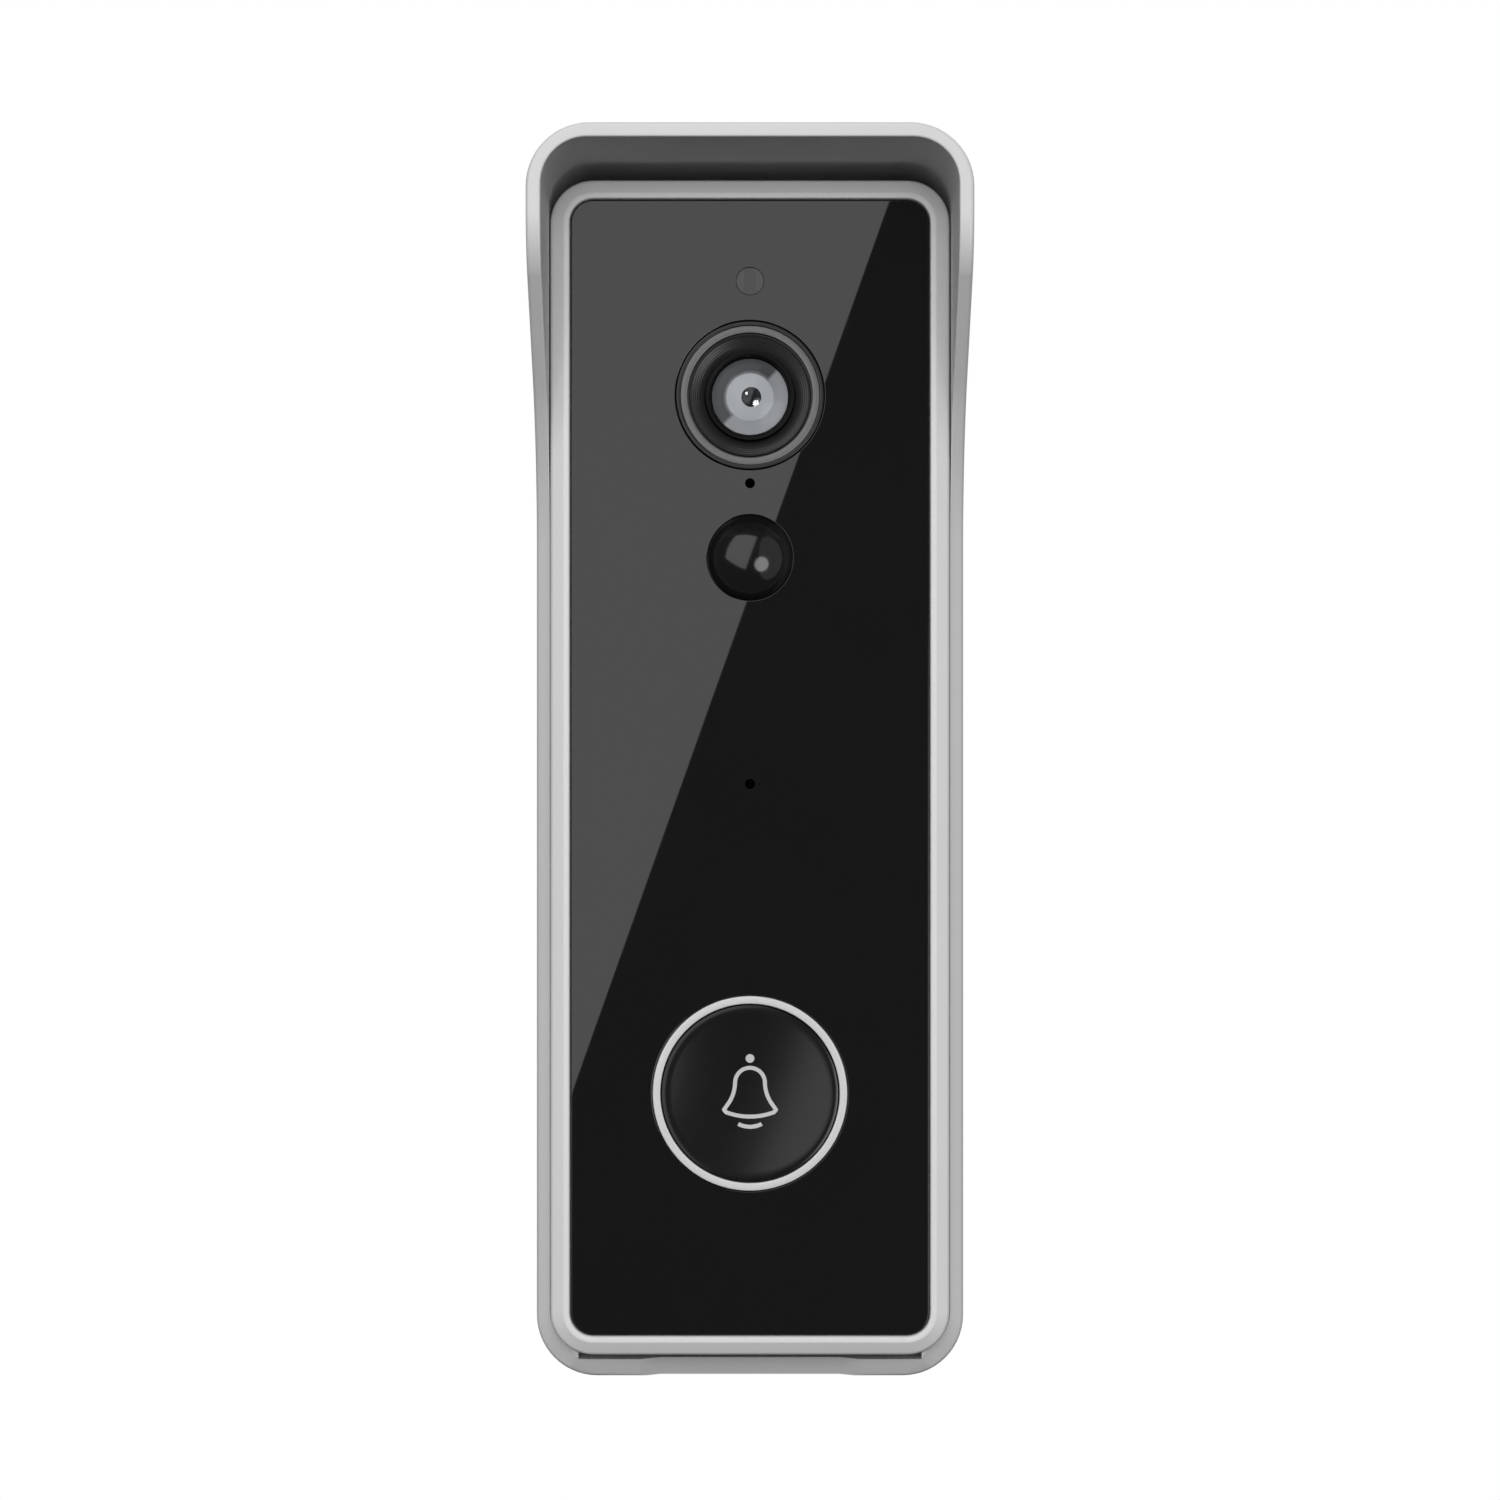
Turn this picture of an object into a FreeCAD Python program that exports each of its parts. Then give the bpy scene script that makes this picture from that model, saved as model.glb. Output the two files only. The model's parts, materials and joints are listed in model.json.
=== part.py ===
"""Battery video doorbell in its rain cover.

Frame: X is width, +Z is up, and the front faces -Y.  The wall is the plane y = 0, and the origin is
the middle of the two wall screws.  A depth is a distance from the wall, so y is minus the depth.
"""
import FreeCAD, Part
import math
import os
import Sketcher
from FreeCAD import Placement, Rotation, Vector

doc = FreeCAD.newDocument("video_doorbell")

# Driving sizes in millimetres.
SIZES = {
    # doorbell body
    "body_wide": 47.7, "body_tall": 140.3, "body_round": 5.15, "shell_wall": 1.8, "rear_wall": 1.5,
    "frame_deep": 9, "bezel_face": 2.4, "bezel_ridge": 1.65, "bezel_fall": 0.9,
    "lip_wide": 0.15, "lip_fall": 0.35, "ledge_wide": 2, "ledge_thick": 1.5,
    "panel_thick": 1.6, "panel_gap": 0.1, "tape_thick": 0.2, "seal_thick": 0.6, "inner_gap": 0.4,
    # rain cover
    "cover_wall": 1.7, "cover_round": 7.3, "plate_thick": 2, "body_gap": 0.4, "side_gap": 0.15,
    "hood_gap": 2.15, "foot_gap": 0.3, "foot_wall": 2.85, "foot_drop": 0.55, "foot_notch": 41.2,
    "hood_reach": 16, "rim_setback": 3, "hood_lip": 14.35, "hood_fall": 36.5,
    "hood_turn": 11, "rim_turn": 29.7, "scoop_deep": 1.4, "scoop_flat": 21.6, "scoop_wide": 30,
    "drain_wide": 8, "drain_deep": 3,
    # how the body hangs on the cover
    "wall_hole": 4.2, "wall_spacing": 90, "sink_wide": 8, "sink_deep": 1.2,
    "hook_wide": 4, "hook_thick": 1.6, "hook_lip": 1.8, "hook_apart": 18, "hook_up": 48,
    "lift": 2, "lock_wide": 2.5, "lock_head": 4.2, "lock_depth": 12, "window_wide": 18,
    "window_tall": 14,
    # batteries
    "cell_wide": 18.4, "cell_tall": 65, "cell_gap": 0.3, "cell_room": 0.6, "contact_room": 2.2,
    "tray_wall": 1, "tray_end": 5.5, "tray_up": 8.1,
    # front features, down from the top edge or up from the bottom edge
    "window_down": 12.15, "camera_down": 25.75, "mic_down": 36.24, "motion_down": 45.11,
    "light_down": 72.1, "button_up": 31.31,
    "window_across": 3.36, "camera_across": 17.6, "hole_across": 1.2, "motion_across": 10.1,
    "barrel_inset": 3.5, "motion_dome": 3, "button_across": 23.2, "light_band": 1.08, "dish_deep": 0.5,
    # inside
    "board_thick": 0.8, "board_gap": 0.2, "front_stack": 4.8, "main_board_wide": 40,
    "main_board_depth": 5.7, "main_board_thick": 1.2, "filter_step": 6, "boss_radius": 2.9,
    "screw_across": 2, "speaker_wide": 30, "speaker_deep": 15,
}

sheet = doc.addObject("Spreadsheet::Sheet", "sizes")
for row, (alias, size) in enumerate(SIZES.items(), 1):
    sheet.set(f"A{row}", alias)
    sheet.set(f"B{row}", str(size))
    sheet.setAlias(f"B{row}", alias)
doc.recompute()


def rule(text):
    """A size rule for setExpression: each word that is a size gets the sheet's name in front."""
    words = []
    word = ""
    for letter in text + " ":
        if letter.isalpha() or letter == "_":
            word += letter
            continue
        words.append(f"sizes.{word}" if word in SIZES else word)
        word = ""
        words.append(letter)
    return "(" + "".join(words).strip() + ")"


def number(text):
    return float(sheet.evalExpression(text))


# ---- planes, as depths from the wall and heights -------------------------------------------------
REAR = rule("plate_thick + body_gap")
REAR_IN = f"({REAR} + sizes.rear_wall)"
TRAY_FRONT = f"({REAR_IN} + sizes.cell_wide + 3*sizes.cell_gap + sizes.tray_wall)"
BOARD = f"({TRAY_FRONT} + sizes.board_gap)"
BOARD_FACE = f"({BOARD} + sizes.board_thick)"
FRONT = f"({BOARD_FACE} + sizes.front_stack)"
FACE = f"({FRONT} - sizes.lip_fall)"
PANEL_BACK = f"({FACE} - sizes.panel_thick)"
LEDGE = f"({PANEL_BACK} - sizes.tape_thick)"
LEDGE_BACK = f"({LEDGE} - sizes.ledge_thick)"
FRAME_BACK = f"({FRONT} - sizes.frame_deep)"
HOUSING_FRONT = f"({FRAME_BACK} - sizes.seal_thick)"
HOOD_FRONT = f"({FRONT} + sizes.hood_reach)"
RIM_FRONT = f"({FRONT} - sizes.rim_setback)"

COVER_WIDE = rule("body_wide + 2*side_gap + 2*cover_wall")
COVER_TALL = rule("body_tall + foot_gap + foot_wall + hood_gap + cover_wall")
TOP = f"({COVER_TALL}/2 - sizes.cover_wall - sizes.hood_gap)"
LOW = f"({TOP} - sizes.body_tall)"
MID = f"(({TOP} + {LOW})/2)"
FLOOR_IN = f"({LOW} + sizes.shell_wall)"
ROOF_IN = f"({TOP} - sizes.shell_wall)"

BARREL = rule("camera_across - 2*barrel_inset")
CAP = rule("button_across - 2*light_band")
WINDOW_Z = f"({TOP} - sizes.window_down)"
CAMERA_Z = f"({TOP} - sizes.camera_down)"
MIC_Z = f"({TOP} - sizes.mic_down)"
MOTION_Z = f"({TOP} - sizes.motion_down)"
LIGHT_Z = f"({TOP} - sizes.light_down)"
BUTTON_Z = f"({LOW} + sizes.button_up)"

POCKET_WIDE = rule("2*cell_wide + 2*cell_room")
POCKET_TALL = rule("cell_tall + 2*contact_room")
TRAY_TALL = f"({POCKET_TALL} + 2*sizes.tray_end)"
TRAY_WIDE = rule("body_wide - 2*shell_wall - 2*inner_gap")
TRAY_LOW = f"({LOW} + sizes.tray_up)"
TRAY_TOP = f"({TRAY_LOW} + {TRAY_TALL})"
TRAY_Z = f"(({TRAY_LOW} + {TRAY_TOP})/2)"
CELL_DEPTH = f"({REAR_IN} + sizes.cell_gap + sizes.cell_wide/2)"
HATCH_WIDE = f"({POCKET_WIDE} + 3.6)"
HATCH_TALL = f"({TRAY_TALL} - 1)"
HATCH_SCREW_Z = f"({TRAY_TALL}/2 - 2.4)"

MAIN_BACK = f"({REAR_IN} + sizes.main_board_depth)"
MAIN_FACE = f"({MAIN_BACK} + sizes.main_board_thick)"
MAIN_LOW = f"({TRAY_TOP} + 1.2)"
MAIN_TOP = f"({CAMERA_Z} + 13.2)"
MAIN_Z = f"(({MAIN_LOW} + {MAIN_TOP})/2)"
PORT_Z = f"({MAIN_LOW} + 6.8)"
SWITCH_Z = f"({PORT_Z} + 4)"
SWITCH_X = "13"
CAMERA_BOARD = f"({MAIN_FACE} + 1.2)"
CAMERA_BOARD_FACE = f"({CAMERA_BOARD} + 1)"
SPEAKER_TOP = f"({ROOF_IN} - 2.5)"
SPEAKER_DEPTH = f"({REAR_IN} + 1.4 + sizes.speaker_deep/2)"

SCREW_X = f"({TRAY_WIDE}/2 - sizes.boss_radius)"
SCREW_HIGH = f"({ROOF_IN} - sizes.boss_radius - sizes.inner_gap)"
SCREW_LOW = f"({FLOOR_IN} + sizes.boss_radius + 0.2)"
HOUSING_SCREWS = [(f"{sx}*{SCREW_X}", sz) for sz in (SCREW_HIGH, SCREW_LOW) for sx in (-1, 1)]
STAND_X = f"(sizes.main_board_wide/2 - 2.5)"
STANDOFFS = [(f"{sx}*{STAND_X}", f"({MAIN_Z} + {sz}*(({MAIN_TOP} - {MAIN_LOW})/2 - 2.5))")
             for sz in (-1, 1) for sx in (-1, 1)]
PAD_X = f"({TRAY_WIDE}/2 - 1.6)"
PADS = [(f"{sx}*{PAD_X}", sz) for sz in (f"({MAIN_LOW} + 2.8)", f"({WINDOW_Z} + 0.8)") for sx in (-1, 1)]
FRONT_BOARD_TOP = f"({SCREW_HIGH} - sizes.boss_radius - 0.5)"
FRONT_BOARD_LOW = f"({LIGHT_Z} - 4.7)"

pieces = {}


# ---- shape helpers -------------------------------------------------------------------------------
def bind(item, **rules):
    for name, text in rules.items():
        item.setExpression(name.replace("_", "."), text)
    return item


def put(item, x, depth, z):
    return bind(item, Placement_Base_x=x, Placement_Base_y=f"-{depth}", Placement_Base_z=z)


def rod(across, near, far, x="0", z="0"):
    """A cylinder that points out of the wall, between two depths."""
    item = doc.addObject("Part::Cylinder", "rod")
    item.Placement = Placement(Vector(), Rotation(Vector(1, 0, 0), 90))
    bind(item, Radius=f"({across})/2", Height=f"{far} - {near}")
    return put(item, x, near, z)


def post(across, low, high, x, depth):
    """An upright cylinder between two heights."""
    item = doc.addObject("Part::Cylinder", "post")
    bind(item, Radius=f"({across})/2", Height=f"{high} - {low}")
    return put(item, x, depth, low)


def cone(near_across, far_across, near, far, x="0", z="0"):
    item = doc.addObject("Part::Cone", "cone")
    item.Placement = Placement(Vector(), Rotation(Vector(1, 0, 0), 90))
    bind(item, Radius1=f"({near_across})/2", Radius2=f"({far_across})/2", Height=f"{far} - {near}")
    return put(item, x, near, z)


def ball(radius, centre, z):
    item = doc.addObject("Part::Sphere", "ball")
    bind(item, Radius=radius)
    return put(item, "0", centre, z)


def block(wide, tall, near, far, x="0", z="0"):
    """A plain box: its width and height about x and z, between two depths."""
    item = doc.addObject("Part::Box", "block")
    bind(item, Length=wide, Width=f"{far} - {near}", Height=tall)
    return put(item, f"({x}) - ({wide})/2", far, f"({z}) - ({tall})/2")


def slab(wide, tall, corner, near, far, x="0", z="0", taper=None):
    """A block with round corners as seen from the front: a padded sketch."""
    body = doc.addObject("PartDesign::Body", "slab")
    sketch = body.newObject("Sketcher::SketchObject", "outline")
    plane = next(f for f in body.Origin.OriginFeatures if f.Role == "XZ_Plane")
    sketch.AttachmentSupport = (plane, [""])
    sketch.MapMode = "FlatFace"
    half, up, turn = number(wide) / 2, number(tall) / 2, number(corner)
    corners = [(half, -up), (half, up), (-half, up), (-half, -up)]
    steps = [(0, 1), (-1, 0), (0, -1), (1, 0)]
    for (cx, cz), (dx, dz) in zip(corners, steps):
        run = 2 * (up if dz else half) - 2 * turn
        start = Vector(cx + dx * turn, cz + dz * turn, 0)
        sketch.addGeometry(Part.LineSegment(start, start + Vector(dx * run, dz * run, 0)), False)
    for k, (cx, cz) in enumerate(corners):
        centre = Vector(cx - math.copysign(turn, cx), cz - math.copysign(turn, cz), 0)
        circle = Part.Circle(centre, Vector(0, 0, 1), turn)
        first = math.radians(90 * k - 90)
        sketch.addGeometry(Part.ArcOfCircle(circle, first, first + math.pi / 2), False)
    for k in range(4):
        sketch.addConstraint(Sketcher.Constraint("Tangent", 4 + k, 2, k, 1))
        sketch.addConstraint(Sketcher.Constraint("Tangent", (k - 1) % 4, 2, 4 + k, 1))
    for k in range(3):
        sketch.addConstraint(Sketcher.Constraint("Equal", 4 + k, 5 + k))
    sketch.addConstraint(Sketcher.Constraint("Vertical", 2))
    sketch.addConstraint(Sketcher.Constraint("Horizontal", 3))
    sketch.addConstraint(Sketcher.Constraint("Symmetric", 1, 1, 1, 2, -2))
    sketch.addConstraint(Sketcher.Constraint("Symmetric", 0, 1, 0, 2, -1))
    named = [("wide", Sketcher.Constraint("DistanceX", 2, 1, 0, 2, 2 * half), wide),
             ("tall", Sketcher.Constraint("DistanceY", 3, 2, 1, 1, 2 * up), tall),
             ("turn", Sketcher.Constraint("Radius", 4, turn), corner)]
    for name, constraint, text in named:
        place = sketch.addConstraint(constraint)
        sketch.renameConstraint(place, name)
        sketch.setExpression(f"Constraints.{name}", text)
    pad = body.newObject("PartDesign::Pad", "pad")
    pad.Profile = sketch
    bind(pad, Length=f"{far} - {near}")
    if taper:
        bind(pad, TaperAngle=taper)
    return put(body, x, near, z)


def fuse(*items):
    if len(items) == 1:
        return items[0]
    if len(items) == 2:
        item = doc.addObject("Part::Fuse", "fuse")
        item.Base, item.Tool = items
        return item
    item = doc.addObject("Part::MultiFuse", "fuse")
    item.Shapes = list(items)
    return item


def cut(base, *tools):
    item = doc.addObject("Part::Cut", "cut")
    item.Base = base
    item.Tool = fuse(*tools)
    return item


def common(first, second):
    item = doc.addObject("Part::Common", "common")
    item.Base = first
    item.Tool = second
    item.Refine = False
    return item


def group(*items):
    """Separate solids that share one node."""
    item = doc.addObject("Part::Compound", "group")
    item.Links = list(items)
    return item


def own(shape):
    """A shape that no primitive or sketch feature makes."""
    item = doc.addObject("Part::Feature", "own")
    item.Shape = shape
    return item


def prism(points_and_arcs, along):
    """An extrusion of a closed outline, given as edges."""
    return own(Part.Face(Part.Wire(points_and_arcs)).extrude(along))


def tube(outer, inner, near, far, x="0", z="0"):
    return cut(rod(outer, near, far, x, z), rod(inner, near, far, x, z))


def frame(wide, tall, corner, ring, near, far, z="0"):
    """A rounded rectangular ring."""
    inner = slab(f"({wide} - 2*{ring})", f"({tall} - 2*{ring})", f"({corner} - {ring})", near, far, "0", z)
    return cut(slab(wide, tall, corner, near, far, "0", z), inner)


def dome(across, near, apex, height, z):
    """A rod with a ball-shaped end of the given height."""
    radius = f"((({across})/2)^2 + ({height})^2)/(2*({height}))"
    return common(rod(across, near, apex, "0", z), ball(radius, f"({apex} - {radius})", z))


def piece(label, item):
    item.Label = label
    pieces[label] = item
    return item


# ---- rain cover ----------------------------------------------------------------------------------
def tangent_arc(before, corner, after, radius):
    """Where a round corner starts and ends, and its middle."""
    first, second = (before - corner).normalize(), (after - corner).normalize()
    half = first.getAngle(second) / 2
    middle = (first + second).normalize()
    centre = corner + middle * (radius / math.sin(half))
    reach = radius / math.tan(half)
    return corner + first * reach, centre - middle * radius, corner + second * reach


def hood_cutter():
    """Everything in front of the rim: level below, sweeping forward into the hood above."""
    rim, hood, top = number(RIM_FRONT), number(HOOD_FRONT), number(COVER_TALL) / 2
    side, clear = number(COVER_WIDE), 20
    def at(depth, z):
        return Vector(-side, -depth, z)
    low = at(rim, -top - clear)
    bend = at(rim, top - number("sizes.hood_fall"))
    nose = at(hood, top - number("sizes.hood_lip"))
    high = at(hood, top + clear)
    outer_high, outer_low = at(hood + clear, top + clear), at(hood + clear, -top - clear)
    start, along, end = tangent_arc(low, bend, nose, number("sizes.rim_turn"))
    start_nose, along_nose, end_nose = tangent_arc(bend, nose, high, number("sizes.hood_turn"))
    edges = [Part.LineSegment(low, start), Part.Arc(start, along, end), Part.LineSegment(end, start_nose),
             Part.Arc(start_nose, along_nose, end_nose), Part.LineSegment(end_nose, high),
             Part.LineSegment(high, outer_high), Part.LineSegment(outer_high, outer_low),
             Part.LineSegment(outer_low, low)]
    return prism([edge.toShape() for edge in edges], Vector(2 * side, 0, 0))


def foot_scoop():
    """A shallow scoop in the front edge of the bottom wall."""
    rim, deep = number(RIM_FRONT), number("sizes.scoop_deep")
    flat, wide, low = number("sizes.scoop_flat") / 2, number("sizes.scoop_wide") / 2, number(LOW) - 5
    corners = [(-wide, rim), (-flat, rim - deep), (flat, rim - deep), (wide, rim), (wide, rim + 1),
               (-wide, rim + 1)]
    outline = Part.makePolygon([Vector(x, -y, low) for x, y in corners + corners[:1]])
    return own(Part.Face(outline).extrude(Vector(0, 0, 5 + number("sizes.shell_wall"))))


def rain_cover():
    cavity_low = f"({LOW} - sizes.foot_gap)"
    cavity_top = f"({TOP} + sizes.hood_gap)"
    past = f"({HOOD_FRONT} + 1)"
    shell = slab(COVER_WIDE, COVER_TALL, "sizes.cover_round", "0", HOOD_FRONT)
    cavity = slab(rule("body_wide + 2*side_gap"), f"({cavity_top} - {cavity_low})",
                  rule("body_round + side_gap"), "sizes.plate_thick", past, "0",
                  f"(({cavity_top} + {cavity_low})/2)")
    notch = block("sizes.foot_notch", "(10 + sizes.foot_drop)", "sizes.plate_thick", past, "0",
                  f"({cavity_low} - sizes.foot_drop/2 + 5)")
    hooks = []
    for sx in (-1, 1):
        x = f"{sx}*sizes.hook_apart/2"
        tall = rule("hook_thick + hook_lip")
        stem = block("sizes.hook_wide", "sizes.hook_thick", "sizes.plate_thick", f"({REAR_IN} + 1.5)", x,
                     rule("hook_up + hook_thick/2"))
        lip = block("sizes.hook_wide", tall, f"({REAR_IN} + 0.3)", f"({REAR_IN} + 1.5)", x,
                    f"(sizes.hook_up + {tall}/2)")
        hooks += [stem, lip]
    holes = []
    for sz in (-1, 1):
        z = f"{sz}*sizes.wall_spacing/2"
        straight = rule("plate_thick - sink_deep")
        holes += [rod("sizes.wall_hole", "0", "sizes.plate_thick", "0", z),
                  cone("sizes.wall_hole", "sizes.sink_wide", straight, "sizes.plate_thick", "0", z)]
    window = slab("sizes.window_wide", "sizes.window_tall", "2", "0", "sizes.plate_thick", "0", PORT_Z)
    plunger_way = slab("3.6", rule("4 + lift"), "1.5", "0", "sizes.plate_thick", SWITCH_X,
                       f"({SWITCH_Z} + sizes.lift/2)")
    under = f"(-{COVER_TALL}/2)"
    lock_hole = post(rule("lock_wide + 0.3"), under, LOW, "0", "sizes.lock_depth")
    lock_sink = post(rule("lock_head + 0.4"), under, f"({under} + 1.2)", "0", "sizes.lock_depth")
    drains = [block("sizes.drain_wide", "6", rule("lock_depth - drain_deep/2"),
                    rule("lock_depth + drain_deep/2"), f"{sx}*(sizes.drain_wide + 2)", LOW)
              for sx in (-1, 1)]
    hollow = cut(shell, cavity, notch, hood_cutter(), foot_scoop())
    return cut(fuse(hollow, *hooks), *holes, window, plunger_way, lock_hole, lock_sink, *drains)


def lock_screw():
    under = f"(-{COVER_TALL}/2)"
    head_top = f"({under} + 1.2)"
    head = cut(post("sizes.lock_head", f"({under} + 0.1)", head_top, "0", "sizes.lock_depth"),
               post("1.8", f"({under} + 0.1)", f"({under} + 0.8)", "0", "sizes.lock_depth"))
    return fuse(head, post("sizes.lock_wide", head_top, f"({FLOOR_IN} + 3.5)", "0", "sizes.lock_depth"))


# ---- shells of the body --------------------------------------------------------------------------
def front_frame():
    ridge = f"({FRONT} - sizes.bezel_fall)"
    inner = rule("body_wide - 2*shell_wall")
    inner_tall = rule("body_tall - 2*shell_wall")
    wide, tall = rule("body_wide - 2*bezel_face"), rule("body_tall - 2*bezel_face")
    corner = rule("body_round - bezel_face")
    shell = slab("sizes.body_wide", "sizes.body_tall", "sizes.body_round", FRAME_BACK, ridge, "0", MID)
    slope = slab("sizes.body_wide", "sizes.body_tall", "sizes.body_round", ridge, FRONT, "0", MID,
                 "-atan(sizes.bezel_ridge/sizes.bezel_fall)")
    hollow = slab(inner, inner_tall, rule("body_round - shell_wall"), FRAME_BACK, LEDGE_BACK, "0", MID)
    opening = slab(rule("body_wide - 2*bezel_face - 2*ledge_wide"),
                   rule("body_tall - 2*bezel_face - 2*ledge_wide"), "1.2", LEDGE_BACK, LEDGE, "0", MID)
    seat = slab(wide, tall, corner, LEDGE, FRONT, "0", MID)
    lip = slab(wide, tall, corner, FACE, FRONT, "0", MID, "atan(sizes.lip_wide/sizes.lip_fall)")
    bosses = [rod("2*sizes.boss_radius", FRAME_BACK, LEDGE_BACK, x, z) for x, z in HOUSING_SCREWS]
    pads = [rod("3.2", BOARD_FACE, LEDGE_BACK, x, z) for x, z in PADS]
    threads = [rod("sizes.screw_across", FRAME_BACK, f"({LEDGE_BACK} - 0.9)", x, z)
               for x, z in HOUSING_SCREWS]
    pad_threads = [rod("1.6", BOARD_FACE, f"({LEDGE_BACK} + 0.9)", x, z) for x, z in PADS]
    shell = cut(fuse(shell, slope), hollow, opening, seat, lip)
    return cut(fuse(shell, *bosses, *pads), *threads, *pad_threads)


def front_panel():
    wide = rule("body_wide - 2*bezel_face - 2*panel_gap")
    tall = rule("body_tall - 2*bezel_face - 2*panel_gap")
    plate = slab(wide, tall, rule("body_round - bezel_face - panel_gap"), PANEL_BACK, FACE, "0", MID)
    holes = [("window_across + 0.04", WINDOW_Z), ("camera_across + 0.2", CAMERA_Z), ("hole_across", MIC_Z),
             ("motion_across + 0.1", MOTION_Z), ("hole_across", LIGHT_Z), ("button_across + 0.2", BUTTON_Z)]
    return cut(plate, *[rod(rule(across), PANEL_BACK, FACE, "0", z) for across, z in holes])


def panel_tape():
    wide, tall = rule("body_wide - 2*bezel_face - 0.4"), rule("body_tall - 2*bezel_face - 0.4")
    return frame(wide, tall, "2.5", "1.6", LEDGE, PANEL_BACK, MID)


def rear_housing():
    shell = slab("sizes.body_wide", "sizes.body_tall", "sizes.body_round", REAR, HOUSING_FRONT, "0", MID)
    hollow = slab(rule("body_wide - 2*shell_wall"), rule("body_tall - 2*shell_wall"),
                  rule("body_round - shell_wall"), REAR_IN, HOUSING_FRONT, "0", MID)
    bosses = [rod("2*sizes.boss_radius", REAR_IN, HOUSING_FRONT, x, z) for x, z in HOUSING_SCREWS]
    stands = [rod("4.4", REAR_IN, MAIN_BACK, x, z) for x, z in STANDOFFS]
    lock_boss = post("7.2", FLOOR_IN, f"({FLOOR_IN} + 5.1)", "0", "sizes.lock_depth")
    hatch = slab(f"({HATCH_WIDE} + 0.3)", f"({HATCH_TALL} + 0.3)", "3.15", REAR, REAR_IN, "0", TRAY_Z)
    holes = [hatch]
    for x, z in HOUSING_SCREWS:
        holes += [rod(rule("screw_across + 0.3"), REAR, HOUSING_FRONT, x, z),
                  rod("4", REAR, f"({REAR} + 2)", x, z)]
    holes += [rod("1.8", f"({REAR_IN} + 1)", MAIN_BACK, x, z) for x, z in STANDOFFS]
    holes.append(post("4.8", FLOOR_IN, f"({FLOOR_IN} + 5.1)", "0", "sizes.lock_depth"))
    holes.append(post("3", LOW, FLOOR_IN, "0", "sizes.lock_depth"))
    slot_tall = rule("hook_thick + lift + 0.3")
    for sx in (-1, 1):
        holes.append(block(rule("hook_wide + 0.6"), slot_tall, REAR, REAR_IN, f"{sx}*sizes.hook_apart/2",
                           f"(sizes.hook_up + sizes.hook_thick + 0.1 - {slot_tall}/2)"))
    holes.append(slab("13", "7.5", "2", REAR, REAR_IN, "0", PORT_Z))
    holes.append(rod("4", REAR, REAR_IN, f"-{SWITCH_X}", SWITCH_Z))
    holes.append(rod("3", REAR, REAR_IN, SWITCH_X, SWITCH_Z))
    for step in (-3, -1, 1, 3):
        depth = f"({SPEAKER_DEPTH} + {step}*1.1)"
        holes.append(block("18", rule("2*shell_wall"), f"({depth} - 0.6)", f"({depth} + 0.6)", "0", TOP))
    return cut(fuse(cut(shell, hollow), *bosses, *stands, lock_boss), *holes)


def housing_screw(x, z):
    head = rod("3.6", f"({REAR} + 0.5)", f"({REAR} + 2)", x, z)
    drive = rod("1.6", f"({REAR} + 0.5)", f"({REAR} + 1.3)", x, z)
    return fuse(cut(head, drive), rod("sizes.screw_across", f"({REAR} + 2)", f"({LEDGE_BACK} - 1.2)", x, z))


def shells():
    piece("front_frame", front_frame())
    piece("front_panel", front_panel())
    piece("panel_tape", panel_tape())
    piece("rear_housing", rear_housing())
    seal_wide, seal_tall = rule("body_wide - 0.7"), rule("body_tall - 0.7")
    piece("housing_seal", frame(seal_wide, seal_tall, "4.65", "1.2", HOUSING_FRONT, FRAME_BACK, MID))
    frame_screws = [housing_screw(x, z) for x, z in HOUSING_SCREWS]
    piece("rear_screws", group(*frame_screws, hatch_screw(-1), hatch_screw(1)))
    piece("lock_insert", cut(post("4.8", FLOOR_IN, f"({FLOOR_IN} + 4.8)", "0", "sizes.lock_depth"),
                             post(rule("lock_wide + 0.12"), FLOOR_IN, f"({FLOOR_IN} + 4.8)", "0",
                                  "sizes.lock_depth")))


# ---- batteries -----------------------------------------------------------------------------------
def cell(side, nub_up):
    """A round cell with its positive nub at one end."""
    x = f"{side}*(sizes.cell_wide/2 + 0.15)"
    low, high = f"({TRAY_Z} - sizes.cell_tall/2)", f"({TRAY_Z} + sizes.cell_tall/2)"
    can_low = low if nub_up else f"({low} + 0.8)"
    can_high = f"({high} - 0.8)" if nub_up else high
    return fuse(post("sizes.cell_wide", can_low, can_high, x, CELL_DEPTH),
                post("5.6", low, high, x, CELL_DEPTH))


def battery_tray():
    shell = slab(TRAY_WIDE, TRAY_TALL, "1.5", REAR_IN, TRAY_FRONT, "0", TRAY_Z)
    pocket = slab(POCKET_WIDE, POCKET_TALL, "0.8", REAR_IN, f"({TRAY_FRONT} - sizes.tray_wall)", "0", TRAY_Z)
    recess = slab(f"({HATCH_WIDE} + 0.3)", f"({HATCH_TALL} + 0.3)", "3.15", REAR_IN,
                  f"({REAR_IN} + sizes.seal_thick)", "0", TRAY_Z)
    threads = [rod("1.8", REAR_IN, f"({REAR_IN} + 6)", "0", f"({TRAY_Z} + {sz}*{HATCH_SCREW_Z})")
               for sz in (-1, 1)]
    return cut(shell, pocket, recess, *threads)


def hatch_screw(sz):
    z = f"({TRAY_Z} + {sz}*{HATCH_SCREW_Z})"
    head = cut(rod("3.2", f"({REAR} + 0.1)", f"({REAR} + 1)", "0", z),
               rod("1.4", f"({REAR} + 0.1)", f"({REAR} + 0.7)", "0", z))
    return fuse(head, rod("1.8", f"({REAR} + 1)", f"({REAR_IN} + 5.5)", "0", z))


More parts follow.
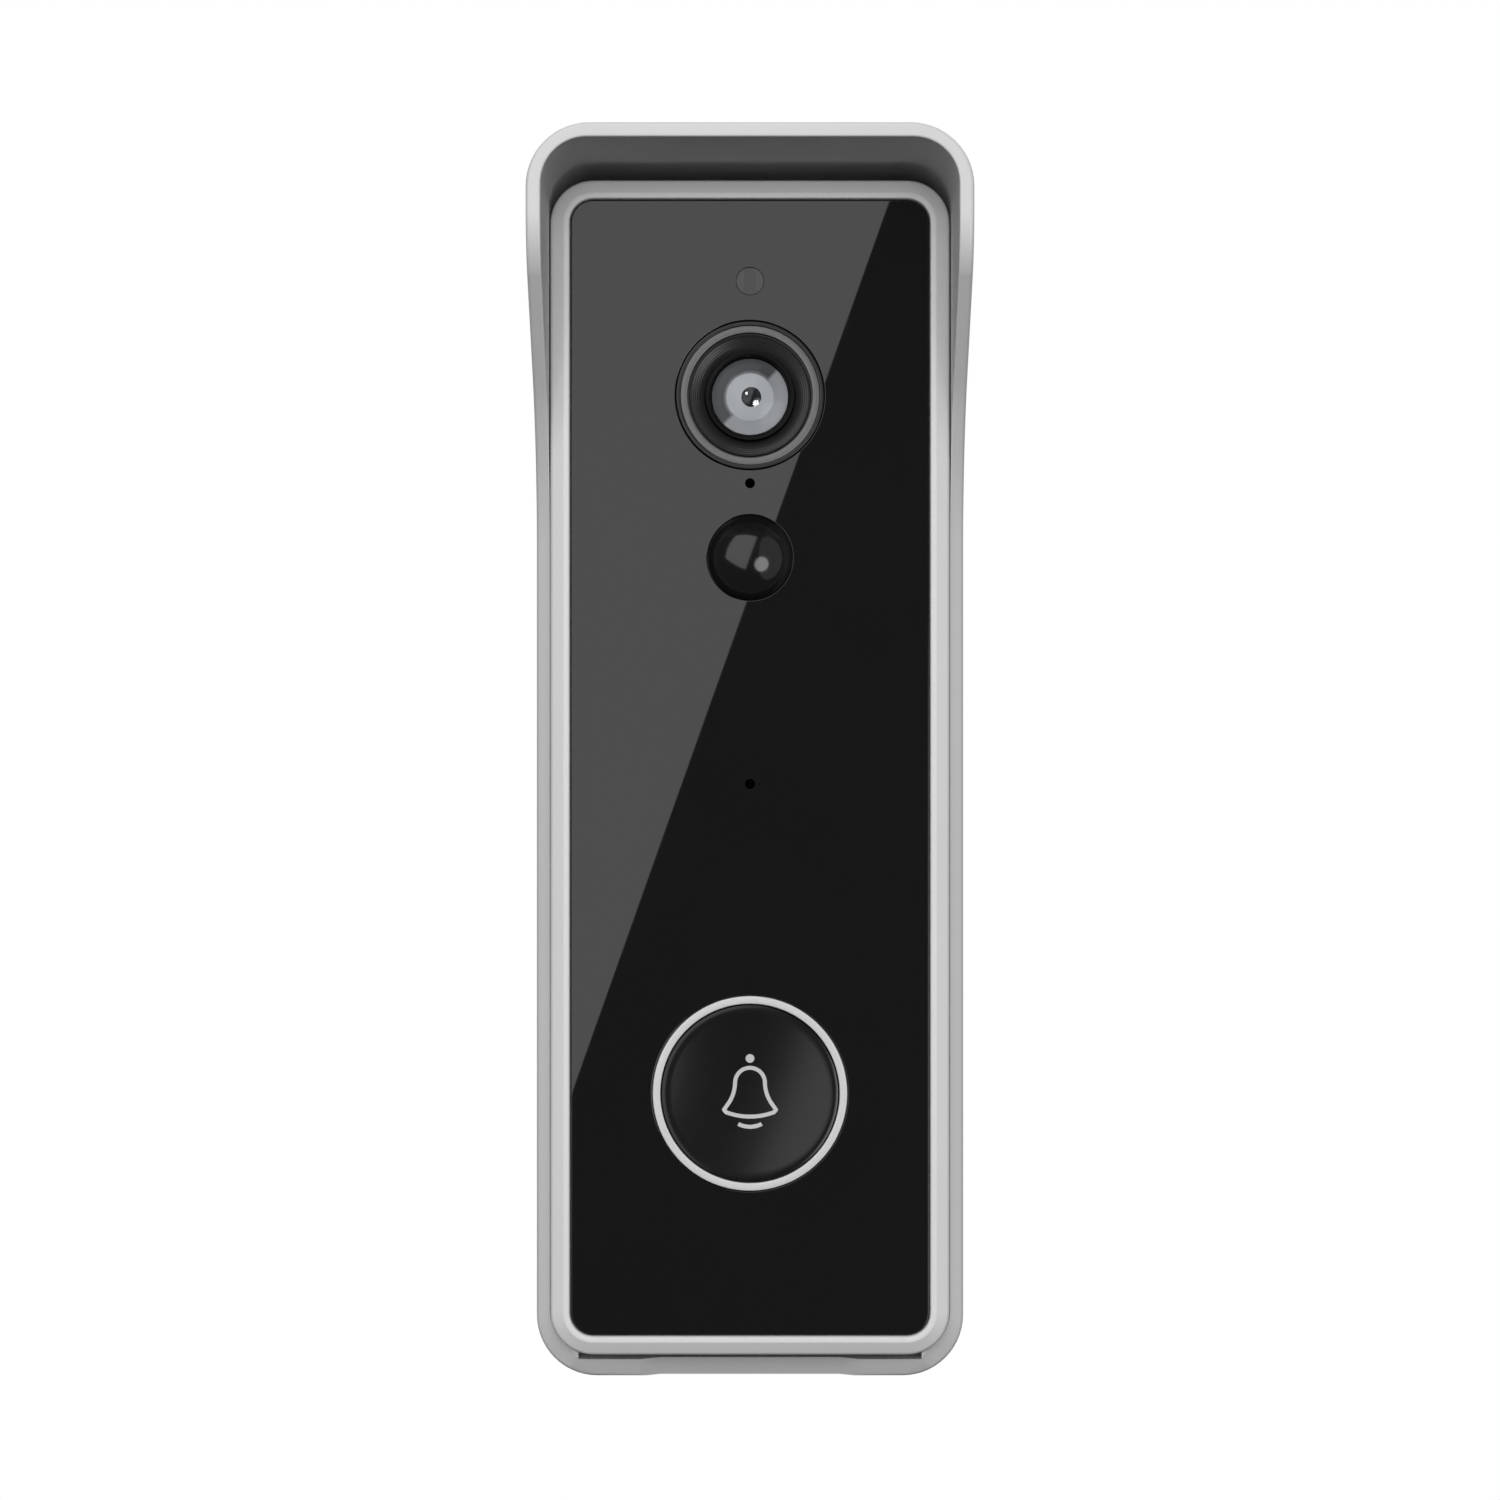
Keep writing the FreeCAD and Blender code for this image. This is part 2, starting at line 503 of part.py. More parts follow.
def battery_cover():
    plate = slab(HATCH_WIDE, HATCH_TALL, "3", REAR, REAR_IN, "0", TRAY_Z)
    holes = []
    for sz in (-1, 1):
        z = f"({TRAY_Z} + {sz}*{HATCH_SCREW_Z})"
        holes += [rod("2.1", REAR, REAR_IN, "0", z), rod("3.4", REAR, f"({REAR} + 1)", "0", z)]
    return cut(plate, *holes)


def batteries():
    piece("battery_tray", battery_tray())
    piece("battery_cover", battery_cover())
    seal_wide, seal_tall = f"({POCKET_WIDE} + 2.4)", f"({POCKET_TALL} + 2.4)"
    piece("battery_cover_seal", frame(seal_wide, seal_tall, "2", "1.2", REAR_IN,
                                      f"({REAR_IN} + sizes.seal_thick)", TRAY_Z))
    piece("battery_cells", group(cell(-1, True), cell(1, False)))
    contacts = []
    for sx in (-1, 1):
        x = f"{sx}*(sizes.cell_wide/2 + 0.15)"
        for sz in (-1, 1):
            plate = block("9", "0.5", f"({CELL_DEPTH} - 4.5)", f"({CELL_DEPTH} + 4.5)", x,
                          f"({TRAY_Z} + {sz}*({POCKET_TALL}/2 - 0.25))")
            spring = doc.addObject("Part::Cone", "spring")
            if sz > 0:
                spring.Placement = Placement(Vector(), Rotation(Vector(1, 0, 0), 180))
            bind(spring, Radius1="3.4", Radius2="2.2", Height=rule("contact_room - 0.5"))
            put(spring, x, CELL_DEPTH, f"({TRAY_Z} + {sz}*({POCKET_TALL}/2 - 0.5))")
            contacts.append(fuse(plate, spring))
    piece("battery_contacts", group(*contacts))


# ---- camera --------------------------------------------------------------------------------------
def filter_frame():
    near, far = f"({CAMERA_BOARD_FACE} + 2.7)", f"({CAMERA_BOARD_FACE} + 3.7)"
    plate = block(rule("filter_step + 7"), "8", near, far, "-sizes.filter_step/2", CAMERA_Z)
    return cut(plate, *[rod("4.8", near, far, x, CAMERA_Z) for x in ("0", "-sizes.filter_step")])


def lens_mount():
    back = CAMERA_BOARD_FACE
    base = block("23", "16", back, f"({back} + 5.4)", "0", CAMERA_Z)
    tower = rod(f"({BARREL} + 3.8)", f"({back} + 5.4)", f"({BOARD} - 0.4)", "0", CAMERA_Z)
    sensor_room = block("9.5", "8.5", back, f"({back} + 2)", "0", CAMERA_Z)
    filter_room = block("19.8", "8.6", f"({back} + 2.4)", f"({back} + 4)", "0", CAMERA_Z)
    light_way = rod("5.6", f"({back} + 2)", f"({back} + 4.6)", "0", CAMERA_Z)
    bore = rod(f"({BARREL} + 0.1)", f"({back} + 4.6)", f"({BOARD} - 0.4)", "0", CAMERA_Z)
    return cut(fuse(base, tower), sensor_room, filter_room, light_way, bore)


def camera():
    back = CAMERA_BOARD_FACE
    ring = "sizes.camera_across"
    flange = f"({PANEL_BACK} - 0.95)"
    carrier_deck = f"({BOARD_FACE} + 0.7)"
    seat = f"({FACE} - 2.05)"
    bezel = fuse(rod(ring, flange, f"({FACE} + 0.15)", "0", CAMERA_Z),
                 rod(f"({ring} + 1)", flange, PANEL_BACK, "0", CAMERA_Z))
    piece("camera_bezel", cut(bezel, rod(f"({ring} - 1)", flange, f"({FACE} + 0.15)", "0", CAMERA_Z)))
    piece("camera_ring", tube(f"({ring} - 1.04)", f"({ring} - 2.64)", seat, f"({FACE} - 0.03)", "0",
                              CAMERA_Z))
    piece("infrared_window", tube(f"({ring} - 2.72)", f"({BARREL} + 0.12)", seat, f"({FACE} - 0.55)", "0",
                                  CAMERA_Z))
    carrier = cut(rod(f"({ring} - 1.04)", BOARD_FACE, seat, "0", CAMERA_Z),
                  rod(f"({BARREL} + 0.4)", BOARD_FACE, carrier_deck, "0", CAMERA_Z),
                  rod(f"({ring} - 3.6)", carrier_deck, seat, "0", CAMERA_Z))
    piece("camera_carrier", carrier)
    between = f"(({BARREL} + {ring} - 3.6)/4)"
    leds = [block("1", "1", carrier_deck, f"({carrier_deck} + 0.7)", f"{between}*cos({turn})",
                  f"({CAMERA_Z} + {between}*sin({turn}))") for turn in range(30, 390, 60)]
    piece("infrared_leds", group(*leds))
    lens_seat = f"({FACE} - 2.45)"
    barrel_front, barrel_back = f"({FACE} - 0.3)", f"({BOARD} - 3.8)"
    piece("lens_barrel", cut(rod(BARREL, barrel_back, barrel_front, "0", CAMERA_Z),
                             rod(f"({BARREL} - 1.24)", lens_seat, barrel_front, "0", CAMERA_Z),
                             rod(f"({BARREL} - 2.6)", barrel_back, lens_seat, "0", CAMERA_Z)))
    piece("front_lens", dome(f"({BARREL} - 1.3)", lens_seat, f"({FACE} - 0.55)", "0.9", CAMERA_Z))
    inner = [rod(f"({BARREL} - 2.66)", f"({lens_seat} - {back_by} - 1.6)", f"({lens_seat} - {back_by})",
                 "0", CAMERA_Z) for back_by in (1, 4.2)]
    piece("inner_lenses", group(*inner))
    piece("lens_mount", lens_mount())
    piece("filter_frame", filter_frame())
    glass = (f"({back} + 2.95)", f"({back} + 3.45)")
    piece("filter_glasses", group(rod("4.8", *glass, "0", CAMERA_Z),
                                  rod("4.8", *glass, "-sizes.filter_step", CAMERA_Z)))
    piece("image_sensor", block("7.2", "6", back, f"({back} + 1.3)", "0", CAMERA_Z))
    piece("camera_board", slab("26", "20", "1", CAMERA_BOARD, back, "0", CAMERA_Z))


# ---- sensors and lights behind the panel ---------------------------------------------------------
def sensors():
    tall, z = f"({FRONT_BOARD_TOP} - {FRONT_BOARD_LOW})", f"(({FRONT_BOARD_TOP} + {FRONT_BOARD_LOW})/2)"
    board = slab(rule("body_wide - 2*shell_wall - 1.2"), tall, "1", BOARD, BOARD_FACE, "0", z)
    screw_holes = [rod("1.8", BOARD, BOARD_FACE, x, z) for x, z in PADS]
    piece("front_board", cut(board, rod(f"({BARREL} + 4.6)", BOARD, BOARD_FACE, "0", CAMERA_Z),
                             *screw_holes))
    screws = [fuse(rod("2.8", f"({BOARD} - 0.9)", BOARD, x, z),
                   rod("1.6", BOARD, f"({LEDGE_BACK} + 0.8)", x, z)) for x, z in PADS]
    screws += [fuse(rod("3.6", MAIN_FACE, f"({MAIN_FACE} + 1.2)", x, z),
                    rod("1.8", f"({REAR_IN} + 1.2)", MAIN_FACE, x, z)) for x, z in STANDOFFS]
    piece("board_screws", group(*screws))

    flange = f"({PANEL_BACK} - 0.85)"
    across = "sizes.motion_across"
    apex = f"({FACE} + sizes.motion_dome)"
    lens = fuse(dome(across, flange, apex, "sizes.motion_dome", MOTION_Z),
                rod(f"({across} + 2.4)", flange, PANEL_BACK, "0", MOTION_Z))
    hollow = dome(f"({across} - 1.1)", flange, f"({apex} - 0.6)", rule("motion_dome - 0.5"), MOTION_Z)
    piece("motion_lens", cut(lens, hollow))
    piece("motion_sensor", fuse(rod("8.6", BOARD_FACE, f"({BOARD_FACE} + 0.4)", "0", MOTION_Z),
                                rod("7.6", BOARD_FACE, f"({BOARD_FACE} + 4)", "0", MOTION_Z)))

    window = fuse(rod("sizes.window_across", flange, f"({FACE} - 0.05)", "0", WINDOW_Z),
                  rod("5.2", flange, PANEL_BACK, "0", WINDOW_Z))
    piece("sensor_window", window)

    mic_face = f"({BOARD_FACE} + 1)"
    capsule_z = f"({MIC_Z} - 0.35)"
    boot = slab("4.6", "2.5", "0.6", BOARD_FACE, PANEL_BACK, "0", capsule_z)
    piece("microphone_boot", cut(boot, block("3.2", "1.9", BOARD_FACE, mic_face, "0", capsule_z),
                                 rod("sizes.hole_across", mic_face, PANEL_BACK, "0", MIC_Z)))
    piece("microphone", block("3.2", "1.9", BOARD_FACE, mic_face, "0", capsule_z))

    piece("front_board_parts", group(block("2.4", "2", BOARD_FACE, f"({BOARD_FACE} + 0.8)", "0", WINDOW_Z),
                                     block("1.6", "0.8", BOARD_FACE, f"({BOARD_FACE} + 0.6)", "0", LIGHT_Z)))
    pipe = fuse(rod(rule("hole_across - 0.04"), f"({BOARD_FACE} + 0.8)", f"({FACE} - 0.3)", "0", LIGHT_Z),
                rod("2.8", f"({BOARD_FACE} + 0.8)", PANEL_BACK, "0", LIGHT_Z))
    piece("status_light_pipe", pipe)


# ---- push button ---------------------------------------------------------------------------------
def bell_outline():
    """Centre line of a plain bell, about the button's middle: dome, flared sides, bowed mouth."""
    shoulder, waist, flare = 1.78, (2.08, -0.3), (2.73, -1.44)
    crown, mouth, rim = 3.02, (2.86, -2.28), (3.1, -1.98)
    spring_line = crown - shoulder
    def at(x, z):
        return Vector(x, 0, z)
    edges = [Part.Arc(at(-shoulder, spring_line), at(0, crown), at(shoulder, spring_line))]
    for side in (1, -1):
        edges.append(Part.Arc(at(side * shoulder, spring_line), at(side * waist[0], waist[1]),
                              at(side * flare[0], flare[1])))
        edges.append(Part.LineSegment(at(side * flare[0], flare[1]), at(side * rim[0], rim[1])))
        edges.append(Part.LineSegment(at(side * rim[0], rim[1]), at(side * mouth[0], mouth[1])))
    edges.append(Part.Arc(at(-mouth[0], mouth[1]), at(0, -2.81), at(mouth[0], mouth[1])))
    return Part.Wire(Part.__sortEdges__([edge.toShape() for edge in edges]))


def bell_prism():
    """The bell, its knob and its clapper, as strokes pressed through the cap's face."""
    stroke, back, deep = 0.47, number(FACE) - 1.1, 2
    line = bell_outline()
    inner, outer = sorted((line.makeOffset2D(stroke / 2), line.makeOffset2D(-stroke / 2)),
                          key=lambda wire: wire.BoundBox.XLength)
    bell = Part.Face(outer).cut(Part.Face(inner)).Faces[0]
    knob = Part.Face(Part.Wire(Part.makeCircle(0.52, Vector(0, 0, 4.14), Vector(0, 1, 0))))
    clapper_line = Part.Arc(Vector(-1.4, 0, -3.68), Vector(0, 0, -4.02), Vector(1.4, 0, -3.68)).toShape()
    circle = clapper_line.Curve
    def disc(radius):
        return Part.Face(Part.Wire(Part.makeCircle(radius, circle.Center, Vector(0, 1, 0))))
    def spoke(x):
        return circle.Center + (Vector(x, 0, -3.68) - circle.Center) * 2
    sector = Part.Face(Part.makePolygon([circle.Center, spoke(-1.4), spoke(1.4), circle.Center]))
    clapper = disc(circle.Radius + stroke / 2).cut(disc(circle.Radius - stroke / 2)).common(sector)
    solids = [face.extrude(Vector(0, -deep, 0)) for face in (bell, knob, clapper.Faces[0])]
    item = own(Part.Compound(solids))
    return put(item, "0", f"({FACE} - 1.1)", BUTTON_Z)


def button():
    ring = "sizes.button_across"
    flange, web = f"({PANEL_BACK} - 1.05)", f"({PANEL_BACK} - 1.3)"
    cap_back = f"({PANEL_BACK} - 0.45)"
    guide = fuse(rod(ring, flange, f"({FACE} + 0.2)", "0", BUTTON_Z),
                 rod(f"({ring} + 2.4)", flange, f"({PANEL_BACK})", "0", BUTTON_Z))
    piece("button_ring", cut(guide, rod(f"({CAP} + 0.34)", flange, f"({FACE} + 0.2)", "0", BUTTON_Z)))
    dish = f"((({CAP} - 1.4)/2)^2 + sizes.dish_deep^2)/(2*sizes.dish_deep)"
    cap_face = f"({FACE} + 0.1)"
    blank = cut(fuse(rod(CAP, cap_back, cap_face, "0", BUTTON_Z),
                     rod("3", flange, cap_back, "0", BUTTON_Z)),
                ball(dish, f"({cap_face} - sizes.dish_deep + {dish})", BUTTON_Z))
    piece("button_cap", cut(blank, bell_prism()))
    piece("bell_icon", common(blank, bell_prism()))
    piece("button_seal", rod(f"({ring} + 2.4)", web, flange, "0", BUTTON_Z))
    piece("button_carrier", tube(f"({ring} + 4.8)", f"({ring} - 1.2)", BOARD_FACE, web, "0", BUTTON_Z))
    piece("button_board", slab("34", "30", "2", BOARD, BOARD_FACE, "0", BUTTON_Z))
    switch_face = f"({BOARD_FACE} + 1.2)"
    piece("button_switch", cut(block("4.6", "4.6", BOARD_FACE, switch_face, "0", BUTTON_Z),
                               rod("2.3", f"({BOARD_FACE} + 0.4)", switch_face, "0", BUTTON_Z)))
    piece("switch_plunger", rod("2.2", f"({web} - 0.65)", web, "0", BUTTON_Z))
    circle = f"(({ring} - 4.4)/2)"
    lights = [block("1.6", "1.6", BOARD_FACE, f"({BOARD_FACE} + 0.7)", f"{circle}*cos({turn})",
                    f"({BUTTON_Z} + {circle}*sin({turn}))") for turn in range(0, 360, 45)]
    piece("ring_leds", group(*lights))


# ---- main board and what it carries --------------------------------------------------------------
def plunger_switch(x):
    return cut(block("5", "5", f"({MAIN_BACK} - 1.5)", MAIN_BACK, x, SWITCH_Z),
               rod("2.3", f"({MAIN_BACK} - 1.5)", f"({MAIN_BACK} - 0.3)", x, SWITCH_Z))


def electronics():
    holes = [rod("2.2", MAIN_BACK, MAIN_FACE, x, z) for x, z in STANDOFFS]
    plate = slab("sizes.main_board_wide", f"({MAIN_TOP} - {MAIN_LOW})", "1.5", MAIN_BACK, MAIN_FACE, "0",
                 MAIN_Z)
    piece("main_board", cut(plate, *holes))
    piece("board_chips", group(block("12", "11", MAIN_FACE, f"({MAIN_FACE} + 1.3)", "-3", f"({PORT_Z} + 1)"),
                               block("9", "8", MAIN_FACE, f"({MAIN_FACE} + 1)", "-3", f"({CAMERA_Z} + 2)")))
    piece("radio_module", block("10", "12", MAIN_FACE, f"({MAIN_FACE} + 1.8)", "9", f"({PORT_Z} + 0.5)"))
    piece("shield_can", block("22", "10", f"({MAIN_BACK} - 1.8)", MAIN_BACK, "0", f"({MAIN_TOP} - 7)"))
    side = rule("body_wide/2 - shell_wall")
    piece("antenna", block("0.4", "30", f"({HOUSING_FRONT} - 8)", HOUSING_FRONT, f"({side} - 0.2)", MAIN_Z))
    gap_low, gap_high = f"({BUTTON_Z} + 15)", FRONT_BOARD_LOW
    button_flex = block("8", f"({gap_high} - {gap_low})", f"({BOARD} + 0.1)", f"({BOARD} + 0.4)", "0",
                        f"(({gap_high} + {gap_low})/2)")
    front_flex = block("8", "0.3", MAIN_FACE, BOARD, "-14.5", f"({MAIN_LOW} + 5.3)")
    piece("flex_cables", group(front_flex, button_flex))
    battery_plug = block("6", f"({MAIN_LOW} + 4 - {TRAY_TOP})", f"({MAIN_BACK} - 2.6)", MAIN_BACK, "-10",
                         f"(({MAIN_LOW} + 4 + {TRAY_TOP})/2)")
    camera_plug = block("8", "3", MAIN_FACE, CAMERA_BOARD, "0", f"({CAMERA_Z} - 7)")
    piece("board_connectors", group(battery_plug, camera_plug))

    mouth, bottom = f"({REAR_IN} + 0.1)", f"({MAIN_BACK} - 0.6)"
    shell = slab("9.2", "3.4", "1.4", mouth, MAIN_BACK, "0", PORT_Z)
    room = slab("8.5", "2.7", "1.2", mouth, bottom, "0", PORT_Z)
    tongue = block("6.6", "0.7", f"({mouth} + 1.7)", bottom, "0", PORT_Z)
    piece("charging_port", fuse(cut(shell, room), tongue))
    piece("port_plug", fuse(slab("12.8", "7.3", "1.9", REAR, REAR_IN, "0", PORT_Z),
                            slab("7.9", "2.1", "0.9", REAR_IN, f"({REAR_IN} + 1.3)", "0", PORT_Z)))

    reset_x = f"-{SWITCH_X}"
    piece("reset_button", fuse(rod("3.8", f"({REAR} + 0.5)", f"({REAR_IN} + 0.7)", reset_x, SWITCH_Z),
                               rod("5", f"({REAR_IN} + 0.05)", f"({REAR_IN} + 0.7)", reset_x, SWITCH_Z),
                               rod("2", f"({REAR_IN} + 0.7)", f"({MAIN_BACK} - 1.3)", reset_x, SWITCH_Z)))
    piece("rear_switches", group(plunger_switch(reset_x), plunger_switch(SWITCH_X)))
    piece("tamper_plunger", fuse(rod("2.8", "0", f"({REAR_IN} + 1.5)", SWITCH_X, SWITCH_Z),
                                 rod("4.4", f"({REAR_IN} + 0.9)", f"({REAR_IN} + 1.5)", SWITCH_X, SWITCH_Z),
                                 rod("1.6", f"({REAR_IN} + 1.5)", f"({MAIN_BACK} - 1.2)", SWITCH_X,
                                     SWITCH_Z)))
    piece("tamper_spring", tube("3.4", "2", f"({REAR_IN} + 1.5)", f"({MAIN_BACK} - 1.5)", SWITCH_X,
                                SWITCH_Z))


# ---- speaker -------------------------------------------------------------------------------------
def speaker():
    near, far = f"({SPEAKER_DEPTH} - sizes.speaker_deep/2)", f"({SPEAKER_DEPTH} + sizes.speaker_deep/2)"
    basket = block("sizes.speaker_wide", "3", near, far, "0", f"({SPEAKER_TOP} - 1.5)")
    room = block(rule("speaker_wide - 3"), "2", f"({near} + 1.5)", f"({far} - 1.5)", "0",
                 f"({SPEAKER_TOP} - 1)")
    magnet = post("12", f"({SPEAKER_TOP} - 5.4)", f"({SPEAKER_TOP} - 3)", "0", SPEAKER_DEPTH)
    piece("speaker", fuse(cut(basket, room), magnet))
    middle = f"({SPEAKER_TOP} + 1.25)"
    outer = block(rule("speaker_wide - 2"), "2.5", f"({near} + 1)", f"({far} - 1)", "0", middle)
    inner = block(rule("speaker_wide - 6"), "2.5", f"({near} + 3)", f"({far} - 3)", "0", middle)
    piece("speaker_gasket", cut(outer, inner))


piece("rain_cover", rain_cover())
piece("lock_screw", lock_screw())
shells()
batteries()
camera()
sensors()
button()
electronics()
speaker()
doc.recompute()

bad = [item.Label for item in doc.Objects if {"Invalid", "Error"} & set(item.State)]
bad += [label for label, item in pieces.items() if item.Shape.isNull() or not item.Shape.isValid()]
if bad:
    raise RuntimeError(f"these didn't build: {bad}")
os.makedirs("parts", exist_ok=True)
for label, item in pieces.items():
    item.Shape.exportStep(f"parts/{label}.step")
    print(f"{label}: {len(item.Shape.Solids)} solid(s), {item.Shape.Volume:.1f} mm3")
print(len(pieces), "nodes")
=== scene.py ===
"""Battery video doorbell in its rain cover: the finished look, built on the packed model.

Lengths are in metres in the packed model's frame: X is width, +Z is up, the front faces -Y, and the
wall is the plane y = 0.  A depth is a distance from the wall, so y is minus the depth.
"""
import json
import math
import bmesh
import bpy
from bpy.props import FloatProperty, FloatVectorProperty, IntProperty, PointerProperty
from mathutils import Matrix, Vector


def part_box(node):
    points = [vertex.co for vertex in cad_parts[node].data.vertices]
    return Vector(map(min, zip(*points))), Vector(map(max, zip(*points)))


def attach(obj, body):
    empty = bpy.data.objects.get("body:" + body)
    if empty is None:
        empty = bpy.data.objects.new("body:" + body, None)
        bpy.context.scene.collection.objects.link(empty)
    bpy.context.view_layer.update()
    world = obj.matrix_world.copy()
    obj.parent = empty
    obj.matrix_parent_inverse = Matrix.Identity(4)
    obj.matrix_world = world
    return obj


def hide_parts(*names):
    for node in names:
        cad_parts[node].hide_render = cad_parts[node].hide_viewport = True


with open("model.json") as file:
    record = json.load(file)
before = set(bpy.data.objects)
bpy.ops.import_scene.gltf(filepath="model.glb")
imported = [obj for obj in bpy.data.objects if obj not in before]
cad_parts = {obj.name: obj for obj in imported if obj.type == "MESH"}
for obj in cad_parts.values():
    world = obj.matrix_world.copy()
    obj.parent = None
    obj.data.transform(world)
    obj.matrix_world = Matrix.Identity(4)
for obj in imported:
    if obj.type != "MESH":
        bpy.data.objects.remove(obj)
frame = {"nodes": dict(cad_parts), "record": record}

bl_info = {
    "name": "Video doorbell",
    "version": (1, 0, 0),
    "blender": (4, 5, 0),
    "location": "View3D > Sidebar > Doorbell",
    "description": "Models the outside of a battery video doorbell on its packed parts",
    "category": "Object",
}

MM = 0.001
FRONT_VIEW = math.pi / 2    # the turn about X that faces a flat or round piece to the front
PAST = 1 * MM               # how far a tool reaches past the faces that it cuts

# ---- sizes taken from the packed parts
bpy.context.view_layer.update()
cover_low, cover_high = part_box("rain_cover")
body_low, body_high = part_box("front_frame")
panel_low, panel_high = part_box("front_panel")
housing_low, housing_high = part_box("rear_housing")

COVER_WIDE, COVER_TALL = cover_high.x - cover_low.x, cover_high.z - cover_low.z
HOOD_DEPTH = -cover_low.y
BODY_WIDE, BODY_TALL = body_high.x - body_low.x, body_high.z - body_low.z
BODY_MIDDLE = (body_high.z + body_low.z) / 2
FRONT, FRAME_BACK = -body_low.y, -body_high.y
FACE, PANEL_BACK = -panel_low.y, -panel_high.y


def middle(node):
    """The middle of a packed part's box."""
    low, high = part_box(node)
    return (low + high) / 2


def depths(node):
    """The depths of a packed part's back and front."""
    low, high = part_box(node)
    return -high.y, -low.y


def radius_of(node):
    """Half a round packed part's width."""
    low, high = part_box(node)
    return (high.x - low.x) / 2


CAMERA_Z = middle("camera_ring").z
MOTION_Z = middle("motion_lens").z
WINDOW_Z = middle("sensor_window").z
LIGHT_Z = middle("status_light_pipe").z
MICROPHONE_Z = middle("microphone_boot").z + 0.35 * MM
BUTTON_Z = middle("button_ring").z

# The cover's hidden features, as in its packed part.
HOOK_SIDE, HOOK_HALF, HOOK_THICK = 9 * MM, 2 * MM, 1.2 * MM
HOOK_LOW, STEM_HIGH, HOOK_HIGH = 48 * MM, 49.6 * MM, 51.4 * MM
WALL_SCREW_UP, WALL_SCREW_BORE, WALL_SCREW_HEAD = 45 * MM, 2.1 * MM, 4 * MM
DRAIN_SIDE, DRAIN_HALF, DRAIN_DEPTHS = 10 * MM, 4 * MM, (10.5 * MM, 13.5 * MM)
CABLE_WINDOW = (18 * MM, 14 * MM, 2 * MM)       # width, height and corner
CABLE_WINDOW_UP = 26 * MM
PLUNGER_SLOT = (3.6 * MM, 6 * MM, 1.5 * MM)
LOCK_DEPTH, LOCK_BORE, LOCK_HEAD = 12 * MM, 1.4 * MM, 2.3 * MM
NOTCH_HALF, NOTCH_STEP, NOTCH_TALL = 20.6 * MM, 0.55 * MM, 9 * MM
SCOOP_HALF, SCOOP_DEEP, SCOOP_TAPER = 15 * MM, 1.4 * MM, 0.72


# ---- sizes and finishes that can be changed
def length(label, text, size):
    return FloatProperty(name=label, description=text, default=size, unit="LENGTH", precision=5)


def colour(label, text, value):
    return FloatVectorProperty(name=label, description=text, default=value, subtype="COLOR", size=3,
                               min=0, max=1)


class DoorbellShape(bpy.types.PropertyGroup):
    """Edge and curve sizes of the outside pieces"""
    cover_corner: length("Cover corner", "Corner radius of the cover's outline", 7.3 * MM)
    cover_wall: length("Cover wall", "Thickness of the cover's sides and hood", 1.7 * MM)
    plate: length("Back plate", "Thickness of the cover's back plate", 2 * MM)
    rim_depth: length("Rim depth", "Depth of the cover's rim below the hood", 27 * MM)
    hood_start: length("Hood start", "Drop from the top to where the rim starts to sweep forward",
                       36.5 * MM)
    hood_end: length("Hood end", "Drop from the top to where the sweep meets the hood's front",
                     14.35 * MM)
    rim_edge: length("Outer rim edge", "Radius along the rim's outer edge", 0.5 * MM)
    rim_tilt: length("Rim tilt", "How far the rim falls back towards its outer edge",
                     1.55 * MM)
    inner_edge: length("Inner rim edge", "Radius along the rim's inner edge", 0.25 * MM)
    body_corner: length("Body corner", "Corner radius of the body's outline", 5.15 * MM)
    bezel_slope: length("Bezel slope", "Width of the bezel's sloping band", 1.65 * MM)
    bezel_fall: length("Bezel fall", "How far the sloping band falls back", 0.9 * MM)
    bezel_lip: length("Bezel lip", "Width of the lip down to the panel", 0.15 * MM)
    bezel_land: length("Bezel land", "Level strip between the slope and the lip", 0.6 * MM)
    frame_wall: length("Frame wall", "Thickness of the frame's sides", 1.8 * MM)
    ledge: length("Panel ledge", "Width of the ledge that carries the panel", 2 * MM)
    panel_edge: length("Panel edge", "Radius along the panel's edges and holes", 0.12 * MM)
    dish: length("Button dish", "How deep the button's face is dished", 0.53 * MM)
    corner_steps: IntProperty(name="Corner steps", description="Facets in a rounded corner",
                              default=14, min=3)
    round_steps: IntProperty(name="Round steps", description="Facets round a turned piece",
                             default=128, min=24)


class DoorbellFinish(bpy.types.PropertyGroup):
    """Colours of the finishes that show"""
    silver: colour("Silver", "Satin silver plastic of the body", (0.71, 0.71, 0.715))
    # Painted shade: the cover's silver is a darker copy of the body's silver, so that the cover's rim
    # looks shaded.
    cover_silver: colour("Cover silver", "Satin silver plastic of the cover", (0.66, 0.66, 0.665))
    black: colour("Black", "Polished black panel", (0.0050, 0.0050, 0.0051))
    grey_ring: colour("Grey ring", "Turned ring round the camera", (0.115, 0.115, 0.117))
    smoked: colour("Smoked", "Smoked sensor windows", (0.032, 0.032, 0.033))
    light_ring: colour("Light ring", "Milky ring and bell", (0.64, 0.64, 0.64))
    floor: colour("Floor", "Pale studio floor", (0.86, 0.86, 0.86))


# ---- modelling helpers
def go_to(mode):
    bpy.ops.object.mode_set(mode=mode)


def select_all():
    bpy.ops.mesh.select_all(action="SELECT")


def clear_selection():
    if bpy.context.object and bpy.context.object.mode != "OBJECT":
        go_to("OBJECT")
    bpy.ops.object.select_all(action="DESELECT")


def make_active(item):
    clear_selection()
    item.select_set(True)
    bpy.context.view_layer.objects.active = item


